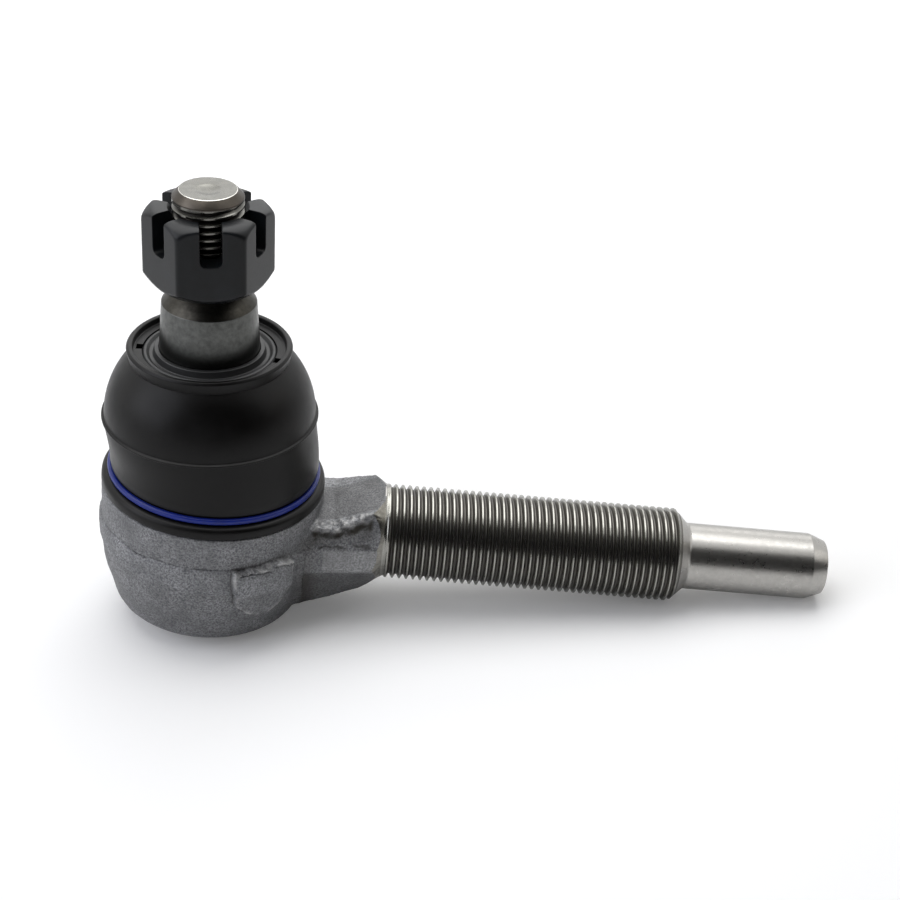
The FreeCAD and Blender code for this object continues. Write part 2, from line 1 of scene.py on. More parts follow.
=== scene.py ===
import math
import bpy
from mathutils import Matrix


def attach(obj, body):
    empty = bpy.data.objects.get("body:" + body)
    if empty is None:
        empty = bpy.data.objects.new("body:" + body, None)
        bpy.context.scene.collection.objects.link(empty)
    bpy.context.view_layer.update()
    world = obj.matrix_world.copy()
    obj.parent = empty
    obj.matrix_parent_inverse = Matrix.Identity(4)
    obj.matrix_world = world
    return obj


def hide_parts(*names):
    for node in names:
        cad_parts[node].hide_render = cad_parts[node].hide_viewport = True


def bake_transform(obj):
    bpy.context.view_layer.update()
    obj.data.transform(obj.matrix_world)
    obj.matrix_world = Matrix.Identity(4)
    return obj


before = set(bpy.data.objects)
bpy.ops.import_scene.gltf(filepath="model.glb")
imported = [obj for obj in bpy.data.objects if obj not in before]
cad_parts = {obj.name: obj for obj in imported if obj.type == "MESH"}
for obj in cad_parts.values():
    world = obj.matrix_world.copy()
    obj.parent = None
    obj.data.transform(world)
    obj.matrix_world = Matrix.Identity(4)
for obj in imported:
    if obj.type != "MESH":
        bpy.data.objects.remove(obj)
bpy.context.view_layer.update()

from types import SimpleNamespace

import bmesh
import bpy
from bpy.props import FloatProperty, FloatVectorProperty, IntProperty, PointerProperty
from mathutils import Matrix, Vector, noise

bl_info = {
    "name": "Tie Rod End",
    "version": (1, 0, 0),
    "blender": (4, 5, 0),
    "location": "3D View > Sidebar > Tie Rod End",
    "description": "Builds the finished surfaces of a tie rod end around its CAD bodies",
    "category": "Object",
}

MM = 0.001
LEAN = math.radians(3.3)           # the stud leans this far towards the back of the shank
LEAN_MATRIX = Matrix.Rotation(LEAN, 4, (0, -1, 0))
THREAD_SLOT = 1                    # material slot of every thread
LEAD_CONE_SLOT = 1                 # the forging's other slot
SHOULDER_SLOT, END_SLOT, CHAMFER_SLOT, RIM_SLOT = 2, 3, 4, 5       # the stud's other slots
WELD = 0.002 * MM                  # points closer than this are joined


def linear(code):
    """An sRGB hex colour as the linear colour that shaders and lamps take."""
    values = [int(code[n:n + 2], 16) / 255 for n in (1, 3, 5)]
    return [v / 12.92 if v <= 0.04045 else ((v + 0.055) / 1.055) ** 2.4 for v in values] + [1.0]


def colour(name, description, code):
    return FloatVectorProperty(name=name, description=description, subtype="COLOR", size=4,
                               min=0, max=1, default=linear(code))


def length(name, description, millimetres):
    return FloatProperty(name=name, description=description, unit="LENGTH", precision=5,
                         default=millimetres * MM)


class ForgingSettings(bpy.types.PropertyGroup):
    mesh_step: length("Mesh step", "Spacing of the points on the forged skin", 0.36)
    wave: length("Wave", "Height of the die's long hollows and swells", 0.09)
    dent: length("Dent", "Height of the marks that blasting leaves", 0.045)
    pad: length("Pad", "Height of the pad over the socket's side", 1.7)
    fold: length("Fold", "Step where the forging folded under the parting line", 0.42)
    belly: length("Belly", "Fullness of the socket's side under the parting line", 0.55)
    tear: length("Tear", "Height of the torn edge where the flash was trimmed", 0.5)
    cone_radius: length("Cone radius", "Large radius of the lead cone before the thread", 12.8)
    cone_length: length("Cone length", "Length of the lead cone", 4.0)
    skin_light: colour("Skin, light", "Tops of the blasted grain", "#a3a4a6")
    skin_dark: colour("Skin, dark", "Hollows of the blasted grain", "#606164")
    stain: colour("Stain", "Scale and handling on the skin", "#5c5d5f")
    # Torn flash: the scale's colour, also painted as shade along the pad's foot, in the corner by the neck,
    # in the neck's hollows, on its upward faces and under its draft.
    torn: colour("Torn flash", "Trimmed flash and its scale", "#37342f")
    # Bare edge: also the colour of the painted highlights along the pad's edge, the neck's trimmed lip and
    # its front and back faces.
    bare: colour("Bare edge", "Edges rubbed down to bright metal", "#cfcecb")
    machined: colour("Machined steel", "Lead cone turned for the thread", "#918f88")


class ShankSettings(bpy.types.PropertyGroup):
    pitch: length("Pitch", "Thread pitch", 1.5)
    depth: length("Thread depth", "Height of the thread's crest over its root", 0.92)
    crest_radius: length("Crest radius", "Radius over the thread's crests", 9.97)
    start: length("Start", "Where the thread starts, from the ball's centre", 36.2)
    chamfer_start: length("Chamfer start", "Where the thread's end is cut down", 98.4)
    pilot_start: length("Pilot start", "Where the plain end reaches its radius", 101.4)
    pilot_radius: length("Pilot radius", "Radius of the plain end", 7.1)
    nose_start: length("Nose start", "Where the plain end's chamfer starts", 128.2)
    nose_radius: length("Nose radius", "Radius at the tip of the chamfer", 5.75)
    end: length("End", "Where the shank ends, from the ball's centre", 131.7)
    centre_radius: length("Centre radius", "Radius of the centre drilled in the end", 2.1)
    segments: IntProperty(name="Segments", description="Flats round the shank", default=120, min=24)
    crest: colour("Crest", "Rolled crest of the thread", "#9d9c96")
    root: colour("Root", "Oiled root of the thread", "#686662")
    ground: colour("Ground steel", "Plain ground end", "#b0aeaa")


class StudSettings(bpy.types.PropertyGroup):
    pitch: length("Pitch", "Thread pitch", 1.5)
    depth: length("Thread depth", "Height of the thread's crest over its root", 0.92)
    ball_radius: length("Ball radius", "Radius of the ball", 13.5)
    neck_radius: length("Neck radius", "Radius of the neck over the ball", 7.4)
    land_radius: length("Land radius", "Radius under the lip insert", 10.05)
    land_start: length("Land start", "Height where the stud reaches that radius", 31.0)
    taper_start: length("Taper start", "Height of the taper's large end", 41.5)
    taper_end: length("Taper end", "Height of the taper's small end", 50.8)
    taper_end_radius: length("Taper end radius", "Radius at the taper's small end", 9.43)
    thread_start: length("Thread start", "Height where the thread starts", 53.6)
    thread_end: length("Thread end", "Height where the thread ends", 72.9)
    crest_radius: length("Crest radius", "Radius over the thread's crests", 6.98)
    end: length("End", "Height of the end's rim", 74.6)
    end_radius: length("End radius", "Radius of the end's flat", 5.6)
    pin_height: length("Pin height", "Height of the split pin's hole", 67.2)
    pin_radius: length("Pin radius", "Radius of the split pin's hole", 1.65)
    segments: IntProperty(name="Segments", description="Flats round the stud", default=96, min=24)
    taper: colour("Taper", "Satin turned steel of the taper", "#636462")
    # Painted shade: the shoulder is darker because it lies under the black nut and reflects it.
    shoulder: colour("Shoulder", "Burnished shoulder over the taper", "#45433e")
    face: colour("End face", "Freshly faced end and the thread's crests", "#777671")
    # The chamfer is painted darker than the face, standing in for the dark it reflects.
    chamfer: colour("Chamfer", "Chamfer turned on the end", "#544f49")
    # Painted highlight along the end's rim.
    rim: colour("Rim", "Burnished edge between the end face and its chamfer", "#d6d4ce")
    root: colour("Root", "Oiled root of the thread", "#24211f")


class NutSettings(bpy.types.PropertyGroup):
    foot: length("Foot", "Height of the nut's foot along the stud", 55.0)
    segments: IntProperty(name="Segments", description="Points round the nut", default=240, min=48)
    half_flats: length("Half the flats", "Half the width across flats", 11.2)
    height: length("Height", "Height of the nut", 16.0)
    slot: length("Slot", "Width of the slots in the crown", 4.3)
    slot_floor: length("Slot floor", "Height of the slots' floor over the foot", 8.1)
    bore: length("Bore", "Radius of the threaded bore", 7.03)
    lead: length("Lead", "Radius of the bore's lead-in at both faces", 7.9)
    foot_radius: length("Foot radius", "Radius of the foot's flat face", 9.9)
    crown_radius: length("Crown radius", "Radius of the crown's flat face", 9.7)
    crown_round: length("Crown round", "Rounding of the crown", 3.5)
    turn: FloatProperty(name="Turn", description="How far the nut is turned on the stud", unit="ROTATION",
                        default=math.radians(7.5))
    edge: length("Edge", "Rounding of the nut's edges", 0.25)
    oxide: colour("Black oxide", "Satin black oxide on steel", "#090b0d")
    oxide_thin: colour("Black oxide, thin", "Where the oxide is thin", "#101316")


class BootSettings(bpy.types.PropertyGroup):
    segments: IntProperty(name="Segments", description="Flats round the boot", default=160, min=32)
    wave: length("Wave", "Height of the rubber's slight unevenness", 0.05)
    bead_radius: length("Bead radius", "Radius of the bead on the socket", 23.1)
    skirt_radius: length("Skirt radius", "Radius of the straight skirt", 21.5)
    seat_radius: length("Seat radius", "Radius of the bead's seat on the socket", 19.45)
    ridge: length("Ridge", "Height of the moulding ridge", 25.6)
    shoulder: length("Shoulder", "Height where the skirt starts, over the ring's groove", 14.3)
    dome_round: length("Dome round", "Radius of the dome's arc", 18.5)
    neck_radius: length("Neck radius", "Radius under the lip", 16.1)
    neck: length("Neck", "Height where the dome meets the lip", 38.5)
    lip_radius: length("Lip radius", "Outer radius of the lip", 16.6)
    lip_top: length("Lip top", "Height of the lip's rim", 41.2)
    lip_floor: length("Lip floor", "Height of the ledge inside the lip", 39.9)
    hole_radius: length("Hole radius", "Radius of the hole that holds the insert", 13.45)
    wall: length("Wall", "Thickness of the rubber", 1.6)
    rubber: colour("Rubber", "Moulded black rubber", "#060505")
    bloom: colour("Bloom", "Faint grey wax bloom on the rubber", "#0e0e0e")


class RingSettings(bpy.types.PropertyGroup):
    inner: length("Inner radius", "Inner radius of the clamp ring", 21.03)
    outer: length("Outer radius", "Outer radius of the clamp ring", 21.95)
    foot: length("Foot", "Height of the ring's foot", 12.15)
    top: length("Top", "Height of the ring's top", 13.4)
    lacquer: colour("Lacquer", "Blue lacquer on the clamp ring", "#13277f")
    lacquer_dark: colour("Lacquer, thin", "Where the lacquer is thin", "#131f5e")


class InsertSettings(bpy.types.PropertyGroup):
    polymer: colour("Polymer", "Black moulded nylon of the lip insert", "#2c2d2e")
    edge: length("Edge", "Rounding of the insert's edges", 0.12)


class SocketSettings(bpy.types.PropertyGroup):
    acetal: colour("Acetal", "Natural acetal of the ball seats", "#e6e2d6")
    zinc: colour("Zinc", "Zinc plate on the cover", "#b9bcc0")
    spring: colour("Spring steel", "Blued spring washer", "#5a5e68")


class StageSettings(bpy.types.PropertyGroup):
    tilt: FloatProperty(name="Floor tilt", unit="ROTATION", default=math.radians(6.3),
                        description="The floor touches the socket's foot and the shank's end")
    lens: FloatProperty(name="Lens", description="Focal length on a 36 mm wide sensor", unit="CAMERA",
                        default=73.95)
    floor: colour("Floor", "White paper sweep", "#f6f6f6")


class TieRodEndSettings(bpy.types.PropertyGroup):
    forging: PointerProperty(type=ForgingSettings)
    shank: PointerProperty(type=ShankSettings)
    stud: PointerProperty(type=StudSettings)
    nut: PointerProperty(type=NutSettings)
    boot: PointerProperty(type=BootSettings)
    ring: PointerProperty(type=RingSettings)
    insert: PointerProperty(type=InsertSettings)
    socket: PointerProperty(type=SocketSettings)
    stage: PointerProperty(type=StageSettings)


def in_mm(group):
    """A group's lengths in millimetres, under their own names."""
    lengths = [p.identifier for p in group.bl_rna.properties if getattr(p, "unit", "") == "LENGTH"]
    return SimpleNamespace(**{name: getattr(group, name) / MM for name in lengths})


def add_node(tree, kind, inputs=None, **settings):
    """Adds a shader node with its settings, and fills or links its inputs."""
    made = tree.nodes.new("ShaderNode" + kind)
    for name, value in settings.items():
        setattr(made, name, value)
    for name, value in (inputs or {}).items():
        if isinstance(value, bpy.types.NodeSocket):
            tree.links.new(value, made.inputs[name])
        else:
            made.inputs[name].default_value = value
    return made


def add_noise(tree, place, size, detail, roughness=0.5):
    """Adds noise whose lumps are about a size in metres, and gives its value."""
    return add_node(tree, "TexNoise", {"Vector": place, "Scale": 1 / size, "Detail": detail,
                                       "Roughness": roughness}).outputs["Fac"]


def mix_colours(tree, amount, first, second):
    """Adds a mix from the first colour at 0 to the second at 1; 6, 7 and 2 are the colour sockets."""
    return add_node(tree, "Mix", {0: amount, 6: first, 7: second}, data_type="RGBA").outputs[2]


def remap(tree, value, start=0.0, end=1.0, low=0.0, high=1.0):
    """Carries a value over from the range between start and end to the one between low and high."""
    return add_node(tree, "MapRange", {"Value": value, "From Min": start, "From Max": end,
                                       "To Min": low, "To Max": high}).outputs[0]


def add_bump(tree, height, strength, depth, base=None):
    """Adds relief of a depth in metres over a base normal, or over the surface's own."""
    inputs = {"Height": height, "Strength": strength, "Distance": depth}
    if base is not None:
        inputs["Normal"] = base
    return add_node(tree, "Bump", inputs).outputs[0]


def new_material(name):
    """Adds an empty material, and gives it, its tree and the place on its piece."""
    material = bpy.data.materials.new(name)
    material.use_nodes = True
    tree = material.node_tree
    tree.nodes.clear()
    return material, tree, add_node(tree, "TexCoord").outputs["Object"]


def add_shader(tree, skin, rough, more=None):
    """Ends a material with its shader, from its colour, its roughness and more inputs by name."""
    shader = add_node(tree, "BsdfPrincipled", {"Base Color": skin, "Roughness": rough, **(more or {})})
    add_node(tree, "OutputMaterial", {"Surface": shader.outputs[0]})


def forged_skin(settings):
    """Hot-forged carbon steel, shot blasted: dull grey speckle that scatters light evenly."""
    material, tree, place = new_material("shot_blasted_forged_steel")
    # Blasting leaves dents of about 0.4 mm.
    grain = add_noise(tree, place, 0.4 * MM, 3.0, 0.7)
    # Scale and handling stain the skin in patches of about 5 mm.
    stain = add_noise(tree, place, 5 * MM, 4.0)
    skin = mix_colours(tree, remap(tree, grain, 0.38, 0.62), settings.skin_dark, settings.skin_light)
    skin = mix_colours(tree, remap(tree, stain, 0.35, 0.7, high=0.6), skin, settings.stain)
    # The tear attribute carries the trimmed flash's scale together with painted shade.
    tear = add_node(tree, "Attribute", attribute_name="tear").outputs["Fac"]
    skin = mix_colours(tree, tear, skin, settings.torn)
    # Painted highlights along the pad's edge, the neck's trimmed lip and its flat front and back faces, with
    # some edges rubbed to bare metal, show lighter and smoother.
    wear_and_highlight = add_node(tree, "Attribute", attribute_name="wear_and_highlight").outputs["Fac"]
    skin = mix_colours(tree, wear_and_highlight, skin, settings.bare)
    rough = remap(tree, wear_and_highlight, low=remap(tree, grain, low=0.48, high=0.68), high=0.34)
    dents = add_bump(tree, grain, 0.9, 0.16 * MM)
    add_shader(tree, skin, rough, {"Metallic": 0.65, "Normal": dents})
    return material


def turned_steel(name, tone, rough, ring_width, cloud=0.62, darker_below=None):
    """Carbon steel, turned: fine rings round the axis that stretch each highlight along it."""
    material, tree, place = new_material(name)
    # Feed marks of the cutting tool, much closer along the axis than round it.
    closer = 24
    stretched = add_node(tree, "Mapping", {"Vector": place, "Scale": (1, 1, closer)}).outputs[0]
    rings = add_noise(tree, stretched, ring_width * closer * MM, 2.0)
    # Handling and oil leave a mottle of about 1 mm.
    mottle = add_noise(tree, place, 1.1 * MM, 4.0, 0.65)
    darker = [v * cloud for v in tone[:3]] + [1.0]
    skin = mix_colours(tree, remap(tree, mottle, 0.35, 0.75), tone, darker)
    if darker_below:
        # The steel is painted darker towards its foot, below the first height given and fading out at the
        # second.
        height = add_node(tree, "SeparateXYZ", {0: place}).outputs["Z"]
        darkened = [v * 0.3 for v in tone[:3]] + [1.0]
        skin = mix_colours(tree, remap(tree, height, darker_below[0] * MM, darker_below[1] * MM), darkened, skin)
    gloss = remap(tree, mottle, low=rough - 0.06, high=rough + 0.14)
    marks = add_bump(tree, rings, 0.25, 0.03 * MM)
    add_shader(tree, skin, gloss, {"Metallic": 1.0, "Normal": marks})
    return material


def rolled_thread(name, crest_colour, root_colour, crest_radius, depth):
    """A rolled steel thread: crests rubbed bright, roots dark with oil and scale."""
    material, tree, place = new_material(name)
    across = add_node(tree, "VectorMath", {0: place, 1: (1, 1, 0)}, operation="MULTIPLY").outputs[0]
    radius = add_node(tree, "VectorMath", {0: across}, operation="LENGTH").outputs["Value"]
    height = remap(tree, radius, crest_radius - depth * 0.85, crest_radius - depth * 0.12)
    patchy = remap(tree, add_noise(tree, place, 1.6 * MM, 3.0), 0.3, 0.75, 1.0, 0.72)
    height = add_node(tree, "Math", {0: height, 1: patchy}, operation="MULTIPLY").outputs[0]
    skin = mix_colours(tree, height, root_colour, crest_colour)
    add_shader(tree, skin, remap(tree, height, low=0.4, high=0.2), {"Metallic": 1.0})
    return material


def black_oxide(settings):
    """Steel under oiled black oxide: the oil film hides the metal, so only a dark satin sheen is left."""
    material, tree, place = new_material("oiled_black_oxide_steel")
    # The oxide's crystals are too fine to see; drawn as a 0.35 mm grain.
    grain = add_noise(tree, place, 0.35 * MM, 3.0)
    patch = add_noise(tree, place, 4 * MM, 2.0)
    skin = mix_colours(tree, remap(tree, patch, 0.35, 0.7), settings.oxide, settings.oxide_thin)
    # Tumbling breaks the edges, which catch a fine line of light.
    edges = add_node(tree, "Bevel", {"Radius": settings.edge}, samples=6).outputs[0]
    bump = add_bump(tree, grain, 0.25, 0.02 * MM, edges)
    add_shader(tree, skin, remap(tree, grain, low=0.3, high=0.42),
               {"IOR": 1.5, "Specular IOR Level": 0.27, "Normal": bump})
    return material


def moulded_rubber(settings):
    """Moulded chloroprene rubber: near black, its soft sheen dulled by a faint wax bloom."""
    material, tree, place = new_material("moulded_black_rubber")
    bloom = add_noise(tree, place, 7 * MM, 4.0, 0.6)
    # The mould's polish marks are about 0.3 mm apart.
    grain = add_noise(tree, place, 0.3 * MM, 2.0)
    skin = mix_colours(tree, remap(tree, bloom, 0.45, 0.75, high=0.55), settings.rubber, settings.bloom)
    bump = add_bump(tree, grain, 0.2, 0.02 * MM)
    add_shader(tree, skin, remap(tree, bloom, 0.3, 0.7, 0.33, 0.45),
               {"IOR": 1.52, "Specular IOR Level": 0.2, "Normal": bump})
    return material


def lacquered_ring(settings):
    """Spring steel wire under blue stoved lacquer: saturated colour under a thin clear gloss."""
    material, tree, place = new_material("blue_lacquered_spring_steel")
    runs = add_noise(tree, place, 3 * MM, 2.0)
    skin = mix_colours(tree, remap(tree, runs, 0.4, 0.7, high=0.5), settings.lacquer, settings.lacquer_dark)
    add_shader(tree, skin, remap(tree, runs, low=0.25, high=0.38),
               {"IOR": 1.5, "Specular IOR Level": 0.25, "Coat Weight": 0.1, "Coat Roughness": 0.15})
    return material


def moulded_plastic(name, tone, darker, low_rough, high_rough, grain_mm):
    """A moulded engineering plastic: even colour, clouded slightly by flow, with a fine matt grain."""
    material, tree, place = new_material(name)
    flow = add_noise(tree, place, 5 * MM, 3.0)
    bump = add_bump(tree, add_noise(tree, place, grain_mm * MM, 2.0), 0.25, 0.03 * MM)
    add_shader(tree, mix_colours(tree, flow, tone, darker),
               remap(tree, flow, low=low_rough, high=high_rough), {"IOR": 1.5, "Normal": bump})
    return material


def make_mesh(name, form):
    """Turns a bmesh into a mesh object with its faces turned outwards."""
    bmesh.ops.recalc_face_normals(form, faces=form.faces)
    mesh = bpy.data.meshes.new(name)
    form.to_mesh(mesh)
    form.free()
    piece = bpy.data.objects.new(name, mesh)
    bpy.context.scene.collection.objects.link(piece)
    return piece


def smooth(piece, degrees):
    """Shades a piece smooth, and keeps the edges sharper than an angle."""
    piece.data.shade_smooth()
    piece.data.set_sharp_from_angle(angle=math.radians(degrees))


def apply_modifiers(piece):
    """Turns a piece's modifiers into its mesh."""
    graph = bpy.context.evaluated_depsgraph_get()
    mesh = bpy.data.meshes.new_from_object(piece.evaluated_get(graph))
    piece.modifiers.clear()
    piece.data = mesh


def cut_away(piece, form, name):
    """Cuts a form out of a piece and throws the form away."""
    cutter = make_mesh(name, form)
    for material in piece.data.materials:
        cutter.data.materials.append(material)
    boolean = piece.modifiers.new(name, "BOOLEAN")
    boolean.operation = "DIFFERENCE"
    boolean.object = cutter
    boolean.solver = "EXACT"
    apply_modifiers(piece)
    bpy.data.objects.remove(cutter)


def rounded(corners, steps=4):
    """Outline points in mm from corners (radius, height, rounding); a rounding of 0 keeps the corner."""
    points = []
    for n, (radius, height, size) in enumerate(corners):
        here = Vector((radius, height))
        if size == 0:
            points.append(here)
            continue
        back = (Vector(corners[n - 1][:2]) - here).normalized()
        on = (Vector(corners[(n + 1) % len(corners)][:2]) - here).normalized()
        half = back.angle(on) / 2
        centre = here + (back + on).normalized() * (size / math.sin(half))
        start = here + back * (size / math.tan(half)) - centre
        end = here + on * (size / math.tan(half)) - centre
        points += [centre + start.slerp(end, k / steps) * size for k in range(steps + 1)]
    return points


def bulge(start, end, radius, steps):
    """Points in mm along an arc from start to end that bulges away from the axis."""
    start, end = Vector(start), Vector(end)
    middle = (start + end) / 2
    along = end - start
    out = Vector((along.y, -along.x)).normalized()
    centre = middle - out * math.sqrt(radius ** 2 - (along.length / 2) ** 2)
    return [centre + (start - centre).slerp(end - centre, k / steps) * radius for k in range(steps + 1)]


def add_point(form, radius, angle, height):
    """Adds a point at a radius and a height in mm, and an angle round the Z axis."""
    return form.verts.new((radius * MM * math.cos(angle), radius * MM * math.sin(angle), height * MM))


def join_corners(form, corners, finish=0):
    """Adds a face between corners, leaving out the ones that coincide."""
    corners = list(dict.fromkeys(corners))
    if len(corners) > 2:
        form.faces.new(corners).material_index = finish


def join_rings(form, rings, closed):
    """Adds the faces between each ring of points and the next."""
    pairs = list(zip(rings, rings[1:] + rings[:1]))
    for low, high in pairs if closed else pairs[:-1]:
        for n in range(len(low)):
            after = (n + 1) % len(low)
            join_corners(form, (low[n], low[after], high[after], high[n]))


def revolve(form, outline, segments, closed=False):
    """Adds the surface that an outline in mm sweeps round the Z axis."""
    rings = []
    for radius, height in outline:
        if radius < 1e-6:
            rings.append([form.verts.new((0, 0, height * MM))] * segments)
        else:
            rings.append([add_point(form, radius, 2 * math.pi * n / segments, height)
                          for n in range(segments)])
    join_rings(form, rings, closed)


def add_thread(form, start, end, pitch, crest, depth, segments, chamfer=None):
    """Adds a helical thread along Z, sizes in mm; a chamfer (height, slope) cuts its far end."""
    steps = 10                     # points along one pitch
    crest_half, root_half = 0.1, 0.08          # half widths of the crest and the root, in pitches
    run_out = 1.2                  # pitches over which the thread's near end rises
    last = math.ceil((end - start) / pitch * steps)
    rows = []
    for row in range(-steps, last + 1):
        away = abs((row / steps) % 1 - 0.5)
        flank = (away - root_half) / (0.5 - crest_half - root_half)
        cut = depth * (1 - min(1, max(0, flank)))
        ring = []
        for n in range(segments):
            height = start + pitch * (row / steps + n / segments)
            height = min(end, max(start, height))
            fade = min(1, (height - start) / (run_out * pitch))
            if chamfer is None:
                fade = min(fade, (end - height) / pitch)
            radius = crest - cut * fade
            if chamfer:
                radius = min(radius, crest - max(0, height - chamfer[0]) * chamfer[1])
            ring.append(add_point(form, radius, 2 * math.pi * n / segments, height))
        rows.append(ring)
    for row in range(len(rows) - 1):
        for n in range(segments):
            seam = steps if n == segments - 1 else 0
            low = rows[min(row + seam, len(rows) - 1)][(n + 1) % segments]
            high = rows[min(row + seam + 1, len(rows) - 1)][(n + 1) % segments]
            join_corners(form, (rows[row][n], low, high, rows[row + 1][n]), THREAD_SLOT)


def clean_copy(node, tolerance_degrees):
    """A CAD node's surface as a bmesh with shared points and its flat faces joined."""
    form = bmesh.new()
    form.from_mesh(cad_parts[node].data)
    bmesh.ops.remove_doubles(form, verts=form.verts, dist=0.001 * MM)
    if tolerance_degrees:
        bmesh.ops.dissolve_limit(form, angle_limit=math.radians(tolerance_degrees), verts=form.verts,
                                 edges=form.edges)
    form.verts.index_update()
    mesh = bpy.data.meshes.new(node + "_clean")
    mesh.from_pydata([v.co for v in form.verts], [], [[v.index for v in f.verts] for f in form.faces])
    form.free()
    clean = bmesh.new()
    clean.from_mesh(mesh)
    bpy.data.meshes.remove(mesh)
    return clean


def edged_copy(node, name, edge, body):
    """Stands in for a CAD node with the same faces and finely rounded edges."""
    piece = make_mesh(name, clean_copy(node, 0.8))
    smooth(piece, 20)
    bevel = piece.modifiers.new("edges", "BEVEL")
    bevel.width = edge
    bevel.segments = 3
    bevel.limit_method = "ANGLE"
    bevel.angle_limit = math.radians(20)
    flat = piece.modifiers.new("flat_faces", "WEIGHTED_NORMAL")
    flat.keep_sharp = True
    apply_modifiers(piece)
    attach(piece, body)
    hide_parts(node)
    return piece


def step_between(value, low, high):
    """Rises smoothly from 0 at low to 1 at high."""
    part = min(1, max(0, (value - low) / (high - low)))
    return part * part * (3 - 2 * part)


def window(value, low, high, rise, fall):
    """1 between low and high, with a smooth rise and fall inside them, and 0 outside."""
    return min(step_between(value, low, low + rise), 1 - step_between(value, high - fall, high))


def swell(value, centre, width):
    """A bell that is 1 at its centre and close to 0 two widths away."""
    return math.exp(-((value - centre) / width) ** 2)


def depth_inside(spot, outline):
    """Distance in mm from a spot to the nearest side of a convex outline; negative outside it."""
    sides = zip(outline, outline[1:] + outline[:1])
    return min((end - start).cross(spot - start) / (end - start).length for start, end in sides)


# The socket's side as forged, in mm. Places round it count from the front, along its surface.
SIDE_RADIUS = 22.9
DRAFT_START, DRAFT = -2.6, 0.227   # height under which the side draws in, and how much a mm
DEGREE = 0.4                       # mm along the side a degree
PAD = [Vector(corner) for corner in ((6.2, 1.9), (6.2, -2.2), (7.2, -6.2), (9.6, -9.0), (12.9, -10.4),
                                     (16.4, -8.2), (19.0, -4.7), (18.9, 2.4))]
PAD_CORNER = (45, 1.9)             # degrees and height of the bead of flash on the pad
PAD_CRACK = 1.2                    # height of the crack along the pad's top
SEAM = 1.7                         # height of the parting seam
BAND_FOOT = -3.4                   # height where the raised band under the seam ends
BELLY = -8.5                       # height where the side is fullest
MOUTH_RADIUS = 18.2                # the machined mouth inside this stays smooth
NECK_START = 20.3                  # from here on the forging is its neck
NECK_END = 34.2
NECK_DRAFT = -4.6                  # height under which the neck draws in
FLASH_FOOT = 1.8                   # height of the crack at the foot of the trimmed flash


def raise_pad(spot, height):
    """Moves a spot to where the pad or the bare side has it, and tells how deep inside the pad it is."""
    radius = math.hypot(spot.x, spot.y)
    turn = math.degrees(math.atan2(spot.x, -spot.y))
    keep = min(window(turn, 9, 52, 3, 2), window(spot.z, -12.5, 4.5, 1, 1))
    if radius < 21.5 or keep == 0:
        return spot, -9
    side = SIDE_RADIUS + min(0, spot.z - DRAFT_START) * DRAFT
    wander = Vector((noise.noise(spot / 2.5), noise.noise(spot / 2.1))) * 0.45
    inside = depth_inside(Vector((turn * DEGREE, spot.z)) + wander, PAD)
    # The trimmed flash leaves a bright bead on the pad's upper right corner and a crack along its top.
    corner = swell(turn, PAD_CORNER[0], 3.2) * swell(spot.z, PAD_CORNER[1], 0.7)
    crack = swell(spot.z, PAD_CRACK, 0.28) * window(turn, 16, 38, 4, 8)
    target = side + height * (step_between(inside, -0.1, 0.3) + 0.45 * corner - 0.55 * crack)
    scale = 1 + (target / radius - 1) * keep
    return Vector((spot.x * scale, spot.y * scale, spot.z)), inside


def work_side(spot, inside, settings):
    """Height, scale with painted shade, and painted highlight of a spot on the socket's side."""
    # The metal folded under the parting line: a dark seam, then a raised band that fades out below.
    seam = SEAM + 0.5 * noise.noise(spot / 5) + 0.25 * noise.noise(spot / 1.2)
    foot = BAND_FOOT + 0.9 * noise.noise(spot / 8) - 0.03 * spot.x
    over_foot = step_between(spot.z, foot - 0.5, foot)
    band = (1 - step_between(spot.z, seam - 0.25, seam + 0.1)) * over_foot
    patch = 0.45 + 0.55 * step_between(noise.noise(spot / 6), -0.3, 0.1)
    push = settings.fold * (0.7 * band - patch * swell(spot.z, seam, 0.22))
    push += settings.belly * swell(spot.z, BELLY, 4.5)
    # Darker outside the raised band, most of all below its foot, with a painted shadow just outside the pad's
    # edge.
    scale = 0.08 * (1 - band) + 0.07 * (1 - over_foot) + 0.5 * swell(inside, -0.3, 0.3)
    # A painted highlight, broken up by noise, runs just inside the pad's edge.
    patchy = max(0, 0.2 + 0.7 * noise.noise(spot / 1.7))
    return push, scale, patchy * swell(inside, 0.35, 0.25)


